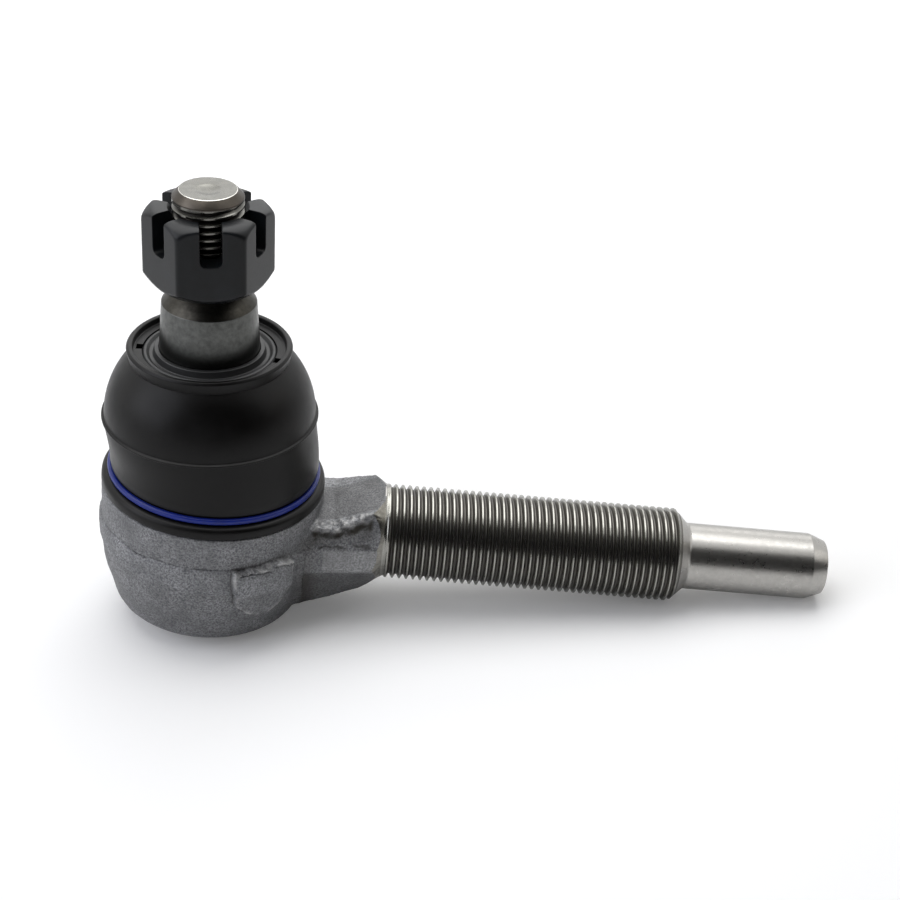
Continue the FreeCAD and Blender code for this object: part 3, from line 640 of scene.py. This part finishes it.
def work_neck(spot, normal, settings):
    """Height, scale with painted shade, and painted highlight of a spot on the neck; its back was trimmed
    cleaner than its front.
    """
    flank = window(spot.x, NECK_START, NECK_END, 1.7, 0.8) * step_between(abs(spot.y), 6.2, 7.4)
    flank *= 1 if spot.y < 0 else 0.3
    above_draft = step_between(spot.z, NECK_DRAFT, NECK_DRAFT + 0.5)
    plain = above_draft * (1 - step_between(spot.z, 1, 2))
    # Painted light on the neck's flat front and back faces, between its draft and the flash.
    wear_and_highlight = 0.14 * step_between(abs(normal.y), 0.6, 0.9) * plain if spot.x > 24 else 0
    # Away from the trimmed flash: painted shade, with the scale's brown tint, on the neck's upward faces and
    # under its draft.
    if flank == 0 or spot.z <= 0.5:
        return 0, 0.34 * step_between(normal.z, 0.6, 0.9) + 0.35 * (1 - above_draft), wear_and_highlight
    # Trimmed flash: a ragged lip, a dark hollow under it and a crack at its foot.
    top = 5.7 + max(0, spot.x - 25.5) * 0.39
    rise = (spot.z - FLASH_FOOT) / (top - FLASH_FOOT)
    rise += 0.13 * noise.noise(spot / 1.8) + 0.08 * noise.noise(spot / 0.7)
    ragged = noise.fractal(spot / 1.2, 0.8, 2.1, 4)
    lip = swell(rise, 0.98, 0.12)
    hollow = swell(rise, 0.68, 0.17)
    crack = swell(rise, 0.08, 0.06) * step_between(noise.noise(spot / 2.2), -0.35, 0.0)
    push = 0.7 * lip * (0.6 + ragged) - 1.1 * hollow - 0.6 * crack
    push += 0.35 * ragged * window(rise, 0, 1.1, 0.2, 0.2)
    # Painted shade in the hollow and the crack, over the scale of the whole torn face.
    dark = hollow * (0.7 + 0.6 * ragged) + 0.7 * crack + 0.25 * window(rise, 0.1, 0.9, 0.2, 0.1)
    # Painted highlight along the lip, with some bare metal.
    wear_and_highlight += min(0.35, max(0, lip * (0.12 + 0.8 * ragged))) * flank
    return flank * settings.tear * push, min(1, max(0, dark)) * flank, wear_and_highlight


def forge(piece, settings):
    """Works the skin of the forging: the pad, die waves, dents, the parting seam and the torn flash."""
    mesh = piece.data
    scale_and_shade_values = mesh.attributes.new("tear", "FLOAT", "POINT").data
    wear_and_highlight_values = mesh.attributes.new("wear_and_highlight", "FLOAT", "POINT").data
    insides = []
    for vertex in mesh.vertices:
        place, inside = raise_pad(vertex.co / MM, settings.pad / MM)
        vertex.co = place * MM
        insides.append(inside)
    mesh.update()
    normals = [v.normal.copy() for v in mesh.vertices]
    for n, (vertex, normal, inside) in enumerate(zip(mesh.vertices, normals, insides)):
        spot = vertex.co / MM
        skin = 1
        if spot.x < 17:
            skin = step_between(math.hypot(spot.x, spot.y), MOUTH_RADIUS, MOUTH_RADIUS + 1.2)
        if skin == 0:
            continue
        if spot.x < NECK_START:
            push, scale, wear_and_highlight = work_side(spot, inside, settings)
        else:
            push, scale, wear_and_highlight = work_neck(spot, normal, settings)
        push += settings.wave * noise.noise(spot / 7)
        push += settings.dent * (noise.noise(spot / 1.1) + 0.7 * noise.noise(spot / 0.55)
                                 + 1.5 * noise.noise(spot / 2.6))
        # Painted shade in the corner between the socket and the neck.
        corner = 0.45 * step_between(abs(spot.y), 6, 8) * (1 - step_between(spot.z, 3, 5))
        scale_and_shade_values[n].value = scale + corner * swell(spot.x, NECK_START + 0.3, 2.4)
        wear_and_highlight_values[n].value = wear_and_highlight
        vertex.co += normal * push * skin


def turn_lead_cone(piece, settings, shank):
    """Turns the thread's lead cone after forging, so that it cuts the rough skin with a crisp edge."""
    clear, beyond = 22, shank.start + 12
    cone_start = shank.start - settings.cone_length / MM
    outline = [(0, shank.start), (shank.crest_radius, shank.start), (settings.cone_radius / MM, cone_start),
               (clear, cone_start), (clear, beyond), (0, beyond)]
    form = bmesh.new()
    revolve(form, outline, 160)
    bmesh.ops.remove_doubles(form, verts=form.verts, dist=WELD)
    bmesh.ops.rotate(form, verts=form.verts, matrix=Matrix.Rotation(math.pi / 2, 3, "Y"))
    for face in form.faces:
        face.material_index = LEAD_CONE_SLOT
    cut_away(piece, form, "lead_cone_cutter")


class TIERODEND_OT_forging(bpy.types.Operator):
    """Builds the forged socket and neck, with the seat for the shank's thread machined on it"""
    bl_idname = "tierodend.forging"
    bl_label = "Forging"

    def execute(self, context):
        settings = context.scene.tie_rod_end.forging
        shank = in_mm(context.scene.tie_rod_end.shank)
        stub = 7.8                 # mm of shank left on the forging, inside the threaded piece
        form = clean_copy("forged_housing", 0)
        geometry = form.verts[:] + form.edges[:] + form.faces[:]
        made = bmesh.ops.bisect_plane(form, geom=geometry, plane_co=((shank.start + stub) * MM, 0, 0),
                                      plane_no=(1, 0, 0), clear_outer=True)
        edges = [e for e in made["geom_cut"] if isinstance(e, bmesh.types.BMEdge)]
        bmesh.ops.contextual_create(form, geom=edges)
        piece = make_mesh("socket_forging", form)
        remesh = piece.modifiers.new("skin", "REMESH")
        remesh.mode = "VOXEL"
        remesh.voxel_size = settings.mesh_step
        soften = piece.modifiers.new("soften", "SMOOTH")
        soften.factor = 0.5
        soften.iterations = 3
        apply_modifiers(piece)
        forge(piece, settings)
        piece.data.materials.clear()
        piece.data.materials.append(forged_skin(settings))
        piece.data.materials.append(turned_steel("turned_lead_cone_steel", settings.machined, 0.24, 0.25))
        turn_lead_cone(piece, settings, shank)
        smooth(piece, 35)
        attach(piece, "housing")
        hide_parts("forged_housing")
        return {"FINISHED"}


class TIERODEND_OT_shank(bpy.types.Operator):
    """Builds the threaded shank and its plain ground end"""
    bl_idname = "tierodend.shank"
    bl_label = "Threaded shank"

    def execute(self, context):
        settings = context.scene.tie_rod_end.shank
        size = in_mm(settings)
        slope = 0.957              # of the cut at the thread's end
        thread_end = size.chamfer_start + size.depth / slope
        form = bmesh.new()
        revolve(form, [(0, size.start - 0.2), (size.crest_radius, size.start - 0.2),
                       (size.crest_radius, size.start)], settings.segments)
        add_thread(form, size.start, thread_end, size.pitch, size.crest_radius, size.depth,
                   settings.segments, (size.chamfer_start, slope))
        end = rounded([(size.crest_radius - size.depth, thread_end, 0),
                       (size.pilot_radius, size.pilot_start, 1.0), (size.pilot_radius, size.nose_start, 0.8),
                       (size.nose_radius, size.end, 0.35), (size.centre_radius, size.end, 0.15),
                       (0, size.end - 2.5, 0)])
        revolve(form, end, settings.segments)
        bmesh.ops.remove_doubles(form, verts=form.verts, dist=WELD)
        piece = make_mesh("threaded_shank", form)
        piece.data.materials.append(turned_steel("ground_shank_steel", settings.ground, 0.26, 0.12, 0.85))
        piece.data.materials.append(rolled_thread("rolled_shank_thread", settings.crest, settings.root,
                                                  settings.crest_radius, settings.depth))
        smooth(piece, 40)
        piece.matrix_world = Matrix.Rotation(math.pi / 2, 4, "Y")
        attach(piece, "housing")
        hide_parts("forged_housing")
        return {"FINISHED"}


def stud_outline(size):
    """Outline in mm of the stud, from the flat under its ball to the foot of its thread."""
    ball = size.ball_radius
    foot = math.radians(-58)       # latitude of the flat under the ball
    join = math.acos(size.neck_radius / ball)
    arc = [foot + (join - foot) * n / 24 for n in range(25)]
    outline = [Vector((0, ball * math.sin(foot)))]
    outline += [Vector((ball * math.cos(a), ball * math.sin(a))) for a in arc]
    flare = ((size.neck_radius, 20.0), (7.62, 23.2), (8.28, 26.4), (9.2, 29.2))
    outline += [Vector(point) for point in flare]
    return outline + rounded([
        (size.land_radius, size.land_start, 0), (size.land_radius, size.taper_start, 0.3),
        (size.taper_end_radius, size.taper_end, 0.25), (8.3, 52.2, 0.2),
        (size.crest_radius, size.thread_start, 0)])


def mark_finishes(form, size):
    """Gives the stud's shoulder and the face, chamfer and rim of its end their own material slots."""
    form.normal_update()
    for face in form.faces:
        middle = face.calc_center_median() / MM
        if middle.z > size.thread_end:
            steep = face.normal.z
            rim = 0.75 < steep < 0.99 and middle.xy.length > 5
            face.material_index = RIM_SLOT if rim else END_SLOT if steep > 0.85 else CHAMFER_SLOT
        elif size.taper_end + 0.1 < middle.z < size.thread_start:
            face.material_index = SHOULDER_SLOT


def drill_pin_hole(piece, size):
    """Drills the split pin's hole through the stud and opens its mouths."""
    bore, mouth = size.pin_radius, size.pin_radius + 0.75
    edge, deep, clear = size.crest_radius - 0.68, size.crest_radius + 0.12, 12
    form = bmesh.new()
    revolve(form, [(0, -clear), (mouth, -clear), (mouth, -deep), (bore, -edge), (bore, edge),
                   (mouth, deep), (mouth, clear), (0, clear)], 40)
    turn = Matrix.Rotation(math.radians(64), 4, "Z") @ Matrix.Rotation(math.pi / 2, 4, "X")
    bmesh.ops.transform(form, verts=form.verts,
                        matrix=Matrix.Translation((0, 0, size.pin_height * MM)) @ turn)
    cut_away(piece, form, "pin_drill")


class TIERODEND_OT_stud(bpy.types.Operator):
    """Builds the ball stud with its taper, thread and split pin hole"""
    bl_idname = "tierodend.stud"
    bl_label = "Ball stud"

    def execute(self, context):
        settings = context.scene.tie_rod_end.stud
        size = in_mm(settings)
        crest, start, finish = size.crest_radius, size.thread_start, size.thread_end
        form = bmesh.new()
        revolve(form, stud_outline(size), settings.segments)
        add_thread(form, start, finish, size.pitch, crest, size.depth, settings.segments)
        end = rounded([(crest, finish, 0), (crest, finish + 0.3, 0.2), (size.end_radius, size.end, 0.25),
                       (2.6, size.end - 0.15, 1.2), (0, size.end - 0.85, 0)])
        revolve(form, end, settings.segments)
        mark_finishes(form, size)
        bmesh.ops.remove_doubles(form, verts=form.verts, dist=WELD)
        piece = make_mesh("turned_ball_stud", form)
        finishes = (               # in the order of the slots
            # The taper is painted darker towards the boot's lip.
            turned_steel("satin_stud_steel", settings.taper, 0.29, 0.16, darker_below=(40, 46.5)),
            rolled_thread("rolled_stud_thread", settings.face, settings.root, settings.crest_radius,
                          settings.depth),
            # The shoulder with its painted shade.
            turned_steel("shoulder_steel_painted_shade", settings.shoulder, 0.32, 0.16),
            turned_steel("faced_end_steel", settings.face, 0.24, 0.3, 0.8),
            # Chamfer painted darker, for the dark it reflects.
            turned_steel("chamfer_steel_painted_dark", settings.chamfer, 0.28, 0.3, 0.8),
            # Rim with a painted highlight.
            turned_steel("rim_steel_painted_highlight", settings.rim, 0.2, 0.3, 0.9),
        )
        for finish in finishes:
            piece.data.materials.append(finish)
        drill_pin_hole(piece, size)
        smooth(piece, 32)
        piece.matrix_world = LEAN_MATRIX
        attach(piece, "stud")
        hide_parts("ball_stud")
        return {"FINISHED"}


def soft_min(sizes, blend):
    """The least of some sizes, with the crossing from one to the next rounded over."""
    least, second = sorted(sizes)[:2]
    near = max(0, blend - (second - least)) / blend
    return least - near * near * blend / 4


def nut_radius(turn, height, size):
    """Outer radius in mm of the nut: a hexagon, coned at its foot and rounded over at its crown."""
    off = abs(math.degrees(turn) % 60 - 30)
    flats = [size.half_flats / math.cos(math.radians(angle)) for angle in (off, 60 - off)]
    cone = size.foot_radius + 1.3 * height
    over = max(0, height - (size.height - size.crown_round))
    crown = size.crown_radius + math.sqrt(max(0, size.crown_round ** 2 - over ** 2))
    return soft_min((soft_min(flats, 0.5), cone, crown), 0.4)


class TIERODEND_OT_nut(bpy.types.Operator):
    """Builds the black castle nut with its slots and rounded crown"""
    bl_idname = "tierodend.nut"
    bl_label = "Castle nut"

    def execute(self, context):
        settings = context.scene.tie_rod_end.nut
        size = in_mm(settings)
        top, lead_depth = size.height, 0.9
        # The levels lie close together where the foot's cone and the crown's round cross the hexagon.
        levels = [0.25 * n for n in range(14)] + [4.5, 8.0, 11.5]
        levels += [top - 0.2 * n for n in range(20, 0, -1)] + [top - 0.06, top]
        turns = [2 * math.pi * n / settings.segments for n in range(settings.segments)]
        form = bmesh.new()
        rings = [[add_point(form, nut_radius(turn, level, size), turn, level) for turn in turns]
                 for level in levels]
        bore = ((size.lead, top), (size.bore, top - lead_depth), (size.bore, lead_depth), (size.lead, 0))
        rings += [[add_point(form, radius, turn, level) for turn in turns] for radius, level in bore]
        join_rings(form, rings, closed=True)
        piece = make_mesh("slotted_nut", form)
        piece.data.materials.append(black_oxide(settings))
        half, floor_round, clear = size.slot / 2, 1.3, 20
        section = rounded([(-half, size.slot_floor, floor_round), (half, size.slot_floor, floor_round),
                           (half, top + 2, 0), (-half, top + 2, 0)])
        for angle in (30, 90, 150):
            slot = bmesh.new()
            near, far = [[slot.verts.new(Vector((reach, p.x, p.y)) * MM) for p in section]
                         for reach in (-clear, clear)]
            slot.faces.new(near)
            slot.faces.new(far)
            for n in range(len(section)):
                slot.faces.new((near[n - 1], near[n], far[n], far[n - 1]))
            bmesh.ops.rotate(slot, verts=slot.verts, matrix=Matrix.Rotation(math.radians(angle), 3, "Z"))
            cut_away(piece, slot, "slot_cutter")
        smooth(piece, 30)
        piece.matrix_world = (LEAN_MATRIX @ Matrix.Rotation(settings.turn, 4, "Z")
                              @ Matrix.Translation((0, 0, settings.foot)))
        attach(piece, "nut")
        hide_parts("castle_nut")
        return {"FINISHED"}


def cut_gate_marks(piece, angles):
    """Cuts the small square gate marks in the floor of the boot's lip."""
    form = bmesh.new()
    for angle in angles:
        turn = Matrix.Rotation(math.radians(angle), 4, "Z")
        place = Matrix.Translation(Vector((13.95, 0, 40)) * MM)
        bmesh.ops.create_cube(form, size=MM, matrix=LEAN_MATRIX @ turn @ place
                              @ Matrix.Diagonal((1.4, 2.0, 2.2, 1)))
    cut_away(piece, form, "gate_mark_cutter")


class TIERODEND_OT_boot(bpy.types.Operator):
    """Builds the rubber boot, upright at its bead and leaning with the stud at its lip"""
    bl_idname = "tierodend.boot"
    bl_label = "Dust boot"

    def execute(self, context):
        settings = context.scene.tie_rod_end.boot
        size = in_mm(settings)
        skirt, ridge, shoulder, neck = size.skirt_radius, size.ridge, size.shoulder, size.neck
        foot, bead_top, groove, half_ridge = 9.35, 11.7, size.skirt_radius - 0.5, 0.25
        outside = rounded([(size.seat_radius, foot, 0.15), (size.bead_radius, foot, 0.35),
                           (size.bead_radius, bead_top, 1.2), (groove, bead_top + 0.3, 0.15),
                           (groove, shoulder - 0.35, 0.1), (skirt, shoulder, 0.15)])
        side = [Vector((skirt, shoulder + 0.5 + n)) for n in range(10)]
        bump = rounded([(skirt, ridge - 0.7, 0), (skirt, ridge - half_ridge - 0.1, 0.1),
                        (skirt + 0.5, ridge - half_ridge * 0.6, 0.12),
                        (skirt + 0.5, ridge + half_ridge * 0.6, 0.12),
                        (skirt, ridge + half_ridge + 0.1, 0.1), (skirt - 0.02, ridge + 0.8, 0)])
        dome = bulge((skirt - 0.01, ridge + 0.7), (size.neck_radius, neck), size.dome_round, 28)[1:]
        lip = rounded([(size.neck_radius, neck, 0), (size.lip_radius, size.lip_top - 0.5, 0.3),
                       (size.lip_radius - 0.4, size.lip_top, 0.3), (size.lip_radius - 1.3, size.lip_top, 0.3),
                       (size.lip_radius - 1.4, size.lip_floor, 0.25), (size.hole_radius, size.lip_floor, 0.1),
                       (size.hole_radius, neck - 1.5, 0.1),
                       (size.neck_radius - size.wall, neck - 1.5, 0)])[1:]
        inside = [Vector((p.x - size.wall, p.y)) for p in reversed(dome[:-4])]
        inside += [Vector((skirt - size.wall, 25 - n)) for n in range(12)]
        inside += [Vector((skirt - size.wall, 12.9)), Vector((size.seat_radius, 12.8))]
        form = bmesh.new()
        revolve(form, outside + side + bump[:-1] + dome + lip + inside, settings.segments, closed=True)
        bmesh.ops.remove_doubles(form, verts=form.verts, dist=WELD)
        for vertex in form.verts:
            spot = vertex.co / MM
            lean = LEAN * step_between(spot.z, shoulder, ridge - half_ridge)
            sway = window(spot.z, 15, neck - 0.5, 9, 2)
            out = Vector((spot.x, spot.y, 0)).normalized()
            vertex.co += out * (settings.wave * sway * noise.noise(spot / 9))
            vertex.co = Matrix.Rotation(lean, 3, (0, -1, 0)) @ vertex.co
        piece = make_mesh("rubber_boot", form)
        cut_gate_marks(piece, (180, 345))
        piece.data.materials.append(moulded_rubber(settings))
        smooth(piece, 40)
        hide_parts("dust_boot")
        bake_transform(piece)
        return {"FINISHED"}


class TIERODEND_OT_ring(bpy.types.Operator):
    """Builds the blue ring that clamps the boot's bead"""
    bl_idname = "tierodend.ring"
    bl_label = "Clamp ring"

    def execute(self, context):
        settings = context.scene.tie_rod_end.ring
        form = bmesh.new()
        size = in_mm(settings)
        section = rounded([(size.inner, size.foot, 0.2), (size.outer, size.foot, 0.4),
                           (size.outer, size.top, 0.45), (size.inner, size.top, 0.2)])
        revolve(form, section, 160, closed=True)
        piece = make_mesh("blue_clamp_ring", form)
        piece.data.materials.append(lacquered_ring(settings))
        smooth(piece, 60)
        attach(piece, "housing")
        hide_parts("boot_clamp_ring")
        return {"FINISHED"}


class TIERODEND_OT_insert(bpy.types.Operator):
    """Builds the dished ring inside the boot's lip"""
    bl_idname = "tierodend.insert"
    bl_label = "Lip insert"

    def execute(self, context):
        settings = context.scene.tie_rod_end.insert
        piece = edged_copy("boot_lip_insert", "dished_lip_insert", settings.edge, "lip")
        piece.data.materials.clear()
        piece.data.materials.append(moulded_plastic("moulded_black_nylon", settings.polymer,
                                                    linear("#1d1d1e"), 0.38, 0.52, 0.4))
        return {"FINISHED"}


class TIERODEND_OT_socket_inside(bpy.types.Operator):
    """Finishes the seats, the spring washer and the cover inside the socket"""
    bl_idname = "tierodend.socket_inside"
    bl_label = "Socket parts"

    def execute(self, context):
        settings = context.scene.tie_rod_end.socket
        acetal = moulded_plastic("natural_acetal", settings.acetal, linear("#d8d3c4"), 0.3, 0.42, 0.5)
        finishes = {
            "upper_ball_seat": acetal,
            "lower_ball_seat": acetal,
            "preload_spring_washer": turned_steel("blued_spring_steel", settings.spring, 0.35, 0.3),
            "rolled_in_cover": turned_steel("zinc_plated_cover_steel", settings.zinc, 0.34, 0.4),
        }
        for name, finish in finishes.items():
            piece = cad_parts[name]
            piece.data.materials.clear()
            piece.data.materials.append(finish)
        return {"FINISHED"}


FLOOR_HALF = 3.0                           # metres
MIDDLE = Vector((0.045, 0, 0.005))         # what the lamps and cards face
CAMERA_PLACE = Vector((18.45, -327.4, 218.8)) * MM
CAMERA_RIGHT = Vector((0.9931, -0.0209, 0.1151))
CAMERA_BACK = Vector((-0.0777, -0.8536, 0.5150))
# Name, place and size in metres, power in watts and tint.
SOFTBOXES = (
    ("top_softbox", (-0.05, 0.15, 0.6), (0.8, 0.6), 3.8, "#ffffff"),
    ("back_softbox", (0.05, 0.75, 0.42), (0.8, 0.35), 0.8, "#ffffff"),
    ("left_softbox", (-0.6, -0.25, 0.35), (0.6, 0.6), 2.6, "#f4f6ff"),
    ("right_softbox", (0.7, 0.05, 0.35), (0.35, 0.4), 0.2, "#fffaf2"),
)


def add_softbox(name, place, size, power, tint):
    """Adds a rectangular lamp that faces the part and that the camera doesn't see."""
    lamp = bpy.data.lights.new(name, "AREA")
    lamp.shape = "RECTANGLE"
    lamp.size, lamp.size_y = size
    lamp.energy = power
    lamp.color = linear(tint)[:3]
    stand = bpy.data.objects.new(name, lamp)
    stand.visible_camera = False
    stand.location = place
    stand.rotation_euler = (MIDDLE - Vector(place)).to_track_quat("-Z", "Y").to_euler()
    bpy.context.scene.collection.objects.link(stand)


def white_surround(tree, dim):
    """White where camera, glossy and transmission rays look, and dimmer as a light."""
    path = add_node(tree, "LightPath")
    seen = add_node(tree, "Math", {0: path.outputs["Is Camera Ray"], 1: path.outputs["Is Glossy Ray"]},
                    operation="MAXIMUM").outputs[0]
    seen = add_node(tree, "Math", {0: seen, 1: path.outputs["Is Transmission Ray"]},
                    operation="MAXIMUM").outputs[0]
    return remap(tree, seen, low=dim)


def add_sheet(name, wide, tall, attitude, finish):
    """Adds a flat sheet of the stage, with its half width and half height in metres."""
    form = bmesh.new()
    corners = [form.verts.new((x * wide, y * tall, 0)) for x, y in ((-1, -1), (1, -1), (1, 1), (-1, 1))]
    form.faces.new(corners)
    sheet = make_mesh(name, form)
    sheet.matrix_world = attitude
    sheet.data.materials.append(finish)
    return sheet


def add_card(name, place, wide, tall, finish):
    """A dark card that shows only in reflections, as the unlit end of a studio would."""
    turn = (MIDDLE - Vector(place)).to_track_quat("-Z", "Y").to_matrix().to_4x4()
    card = add_sheet(name, wide, tall, Matrix.Translation(place) @ turn, finish)
    card.visible_camera = False
    card.visible_diffuse = False
    card.visible_shadow = False


def white_paper(settings):
    """Matt paper, lifted where the camera sees it so that it clears to white away from the part."""
    material, tree, place = new_material("white_paper")
    path = add_node(tree, "LightPath")
    away = add_node(tree, "VectorMath", {0: place}, operation="LENGTH").outputs["Value"]
    lift = remap(tree, away, 0.17, 0.45, 0.1, 0.8)
    lift = add_node(tree, "Math", {0: lift, 1: path.outputs["Is Camera Ray"]},
                    operation="MULTIPLY").outputs[0]
    add_shader(tree, settings.floor, 0.9, {"Specular IOR Level": 0.1, "Emission Color": (1, 1, 1, 1),
                                           "Emission Strength": lift})
    return material


def black_velvet():
    """Black velvet: its nap swallows nearly all light."""
    material, tree, _ = new_material("black_velvet")
    nap = add_node(tree, "TexNoise", {"Scale": 40.0}).outputs["Fac"]
    add_shader(tree, mix_colours(tree, nap, linear("#060606"), linear("#101010")), 0.95)
    return material


def set_camera(scene, lens):
    """Sets the camera in front of the part, looking down on it."""
    camera = bpy.data.objects.new("camera", bpy.data.cameras.new("camera"))
    camera.data.lens = lens
    camera.data.sensor_width = 36
    camera.data.clip_start = 0.01
    back = CAMERA_BACK.normalized()
    right = (CAMERA_RIGHT - back * CAMERA_RIGHT.dot(back)).normalized()
    attitude = Matrix((right, back.cross(right), back)).transposed().to_4x4()
    camera.matrix_world = Matrix.Translation(CAMERA_PLACE) @ attitude
    scene.collection.objects.link(camera)
    scene.camera = camera
    return camera


class TIERODEND_OT_stage(bpy.types.Operator):
    """Sets the paper floor, the lamps and the camera"""
    bl_idname = "tierodend.stage"
    bl_label = "Stage"

    def execute(self, context):
        settings = context.scene.tie_rod_end.stage
        scene = context.scene
        scene.view_settings.view_transform = "Standard"
        scene.world = bpy.data.worlds.new("white_studio")
        scene.world.use_nodes = True
        tree = scene.world.node_tree
        tree.nodes.clear()
        strength = white_surround(tree, 0.18)
        light = add_node(tree, "Background", {"Color": (1, 1, 1, 1), "Strength": strength})
        add_node(tree, "OutputWorld", {"Surface": light.outputs[0]})
        # The floor tilts so that it touches the socket's foot and the shank's end, 0.05 mm below them.
        up = Vector((-math.sin(settings.tilt), 0, math.cos(settings.tilt)))
        foot = (Vector((15.6, 0, -19.5)) - up * 0.05) * MM
        attitude = Vector((0, 0, 1)).rotation_difference(up).to_matrix().to_4x4()
        add_sheet("paper_floor", FLOOR_HALF, FLOOR_HALF, Matrix.Translation(foot) @ attitude,
                  white_paper(settings))
        for softbox in SOFTBOXES:
            add_softbox(*softbox)
        camera = set_camera(scene, settings.lens)
        velvet = black_velvet()
        add_card("front_dark_card", camera.matrix_world @ Vector((0, 0.06, 0.35)), 1.5, 0.5, velvet)
        add_card("right_dark_card", (0.95, -0.2, 0.22), 0.5, 0.22, velvet)
        return {"FINISHED"}


OPERATORS = (TIERODEND_OT_forging, TIERODEND_OT_shank, TIERODEND_OT_stud, TIERODEND_OT_nut,
             TIERODEND_OT_boot, TIERODEND_OT_ring, TIERODEND_OT_insert, TIERODEND_OT_socket_inside,
             TIERODEND_OT_stage)
GROUPS = ("forging", "shank", "stud", "nut", "boot", "ring", "insert", "socket", "stage")


class TIERODEND_PT_panel(bpy.types.Panel):
    """Lists the pieces of the tie rod end and their sizes and colours"""
    bl_idname = "TIERODEND_PT_panel"
    bl_label = "Tie Rod End"
    bl_space_type = "VIEW_3D"
    bl_region_type = "UI"
    bl_category = "Tie Rod End"

    def draw(self, context):
        groups = context.scene.tie_rod_end
        for operator, name in zip(OPERATORS, GROUPS):
            box = self.layout.box()
            box.operator(operator.bl_idname)
            group = getattr(groups, name)
            for prop in group.bl_rna.properties:
                if prop.identifier not in ("rna_type", "name"):
                    box.prop(group, prop.identifier)


CLASSES = (ForgingSettings, ShankSettings, StudSettings, NutSettings, BootSettings, RingSettings,
           InsertSettings, SocketSettings, StageSettings, TieRodEndSettings,
           *OPERATORS, TIERODEND_PT_panel)


def register():
    for kind in CLASSES:
        bpy.utils.register_class(kind)
    bpy.types.Scene.tie_rod_end = PointerProperty(type=TieRodEndSettings)


def unregister():
    del bpy.types.Scene.tie_rod_end
    for kind in reversed(CLASSES):
        bpy.utils.unregister_class(kind)


def main():
    register()
    bpy.ops.tierodend.forging()
    bpy.ops.tierodend.shank()
    bpy.ops.tierodend.stud()
    bpy.ops.tierodend.nut()
    bpy.ops.tierodend.boot()
    bpy.ops.tierodend.ring()
    bpy.ops.tierodend.insert()
    bpy.ops.tierodend.socket_inside()
    bpy.ops.tierodend.stage()
    bpy.context.view_layer.update()


if __name__ == "__main__":
    main()
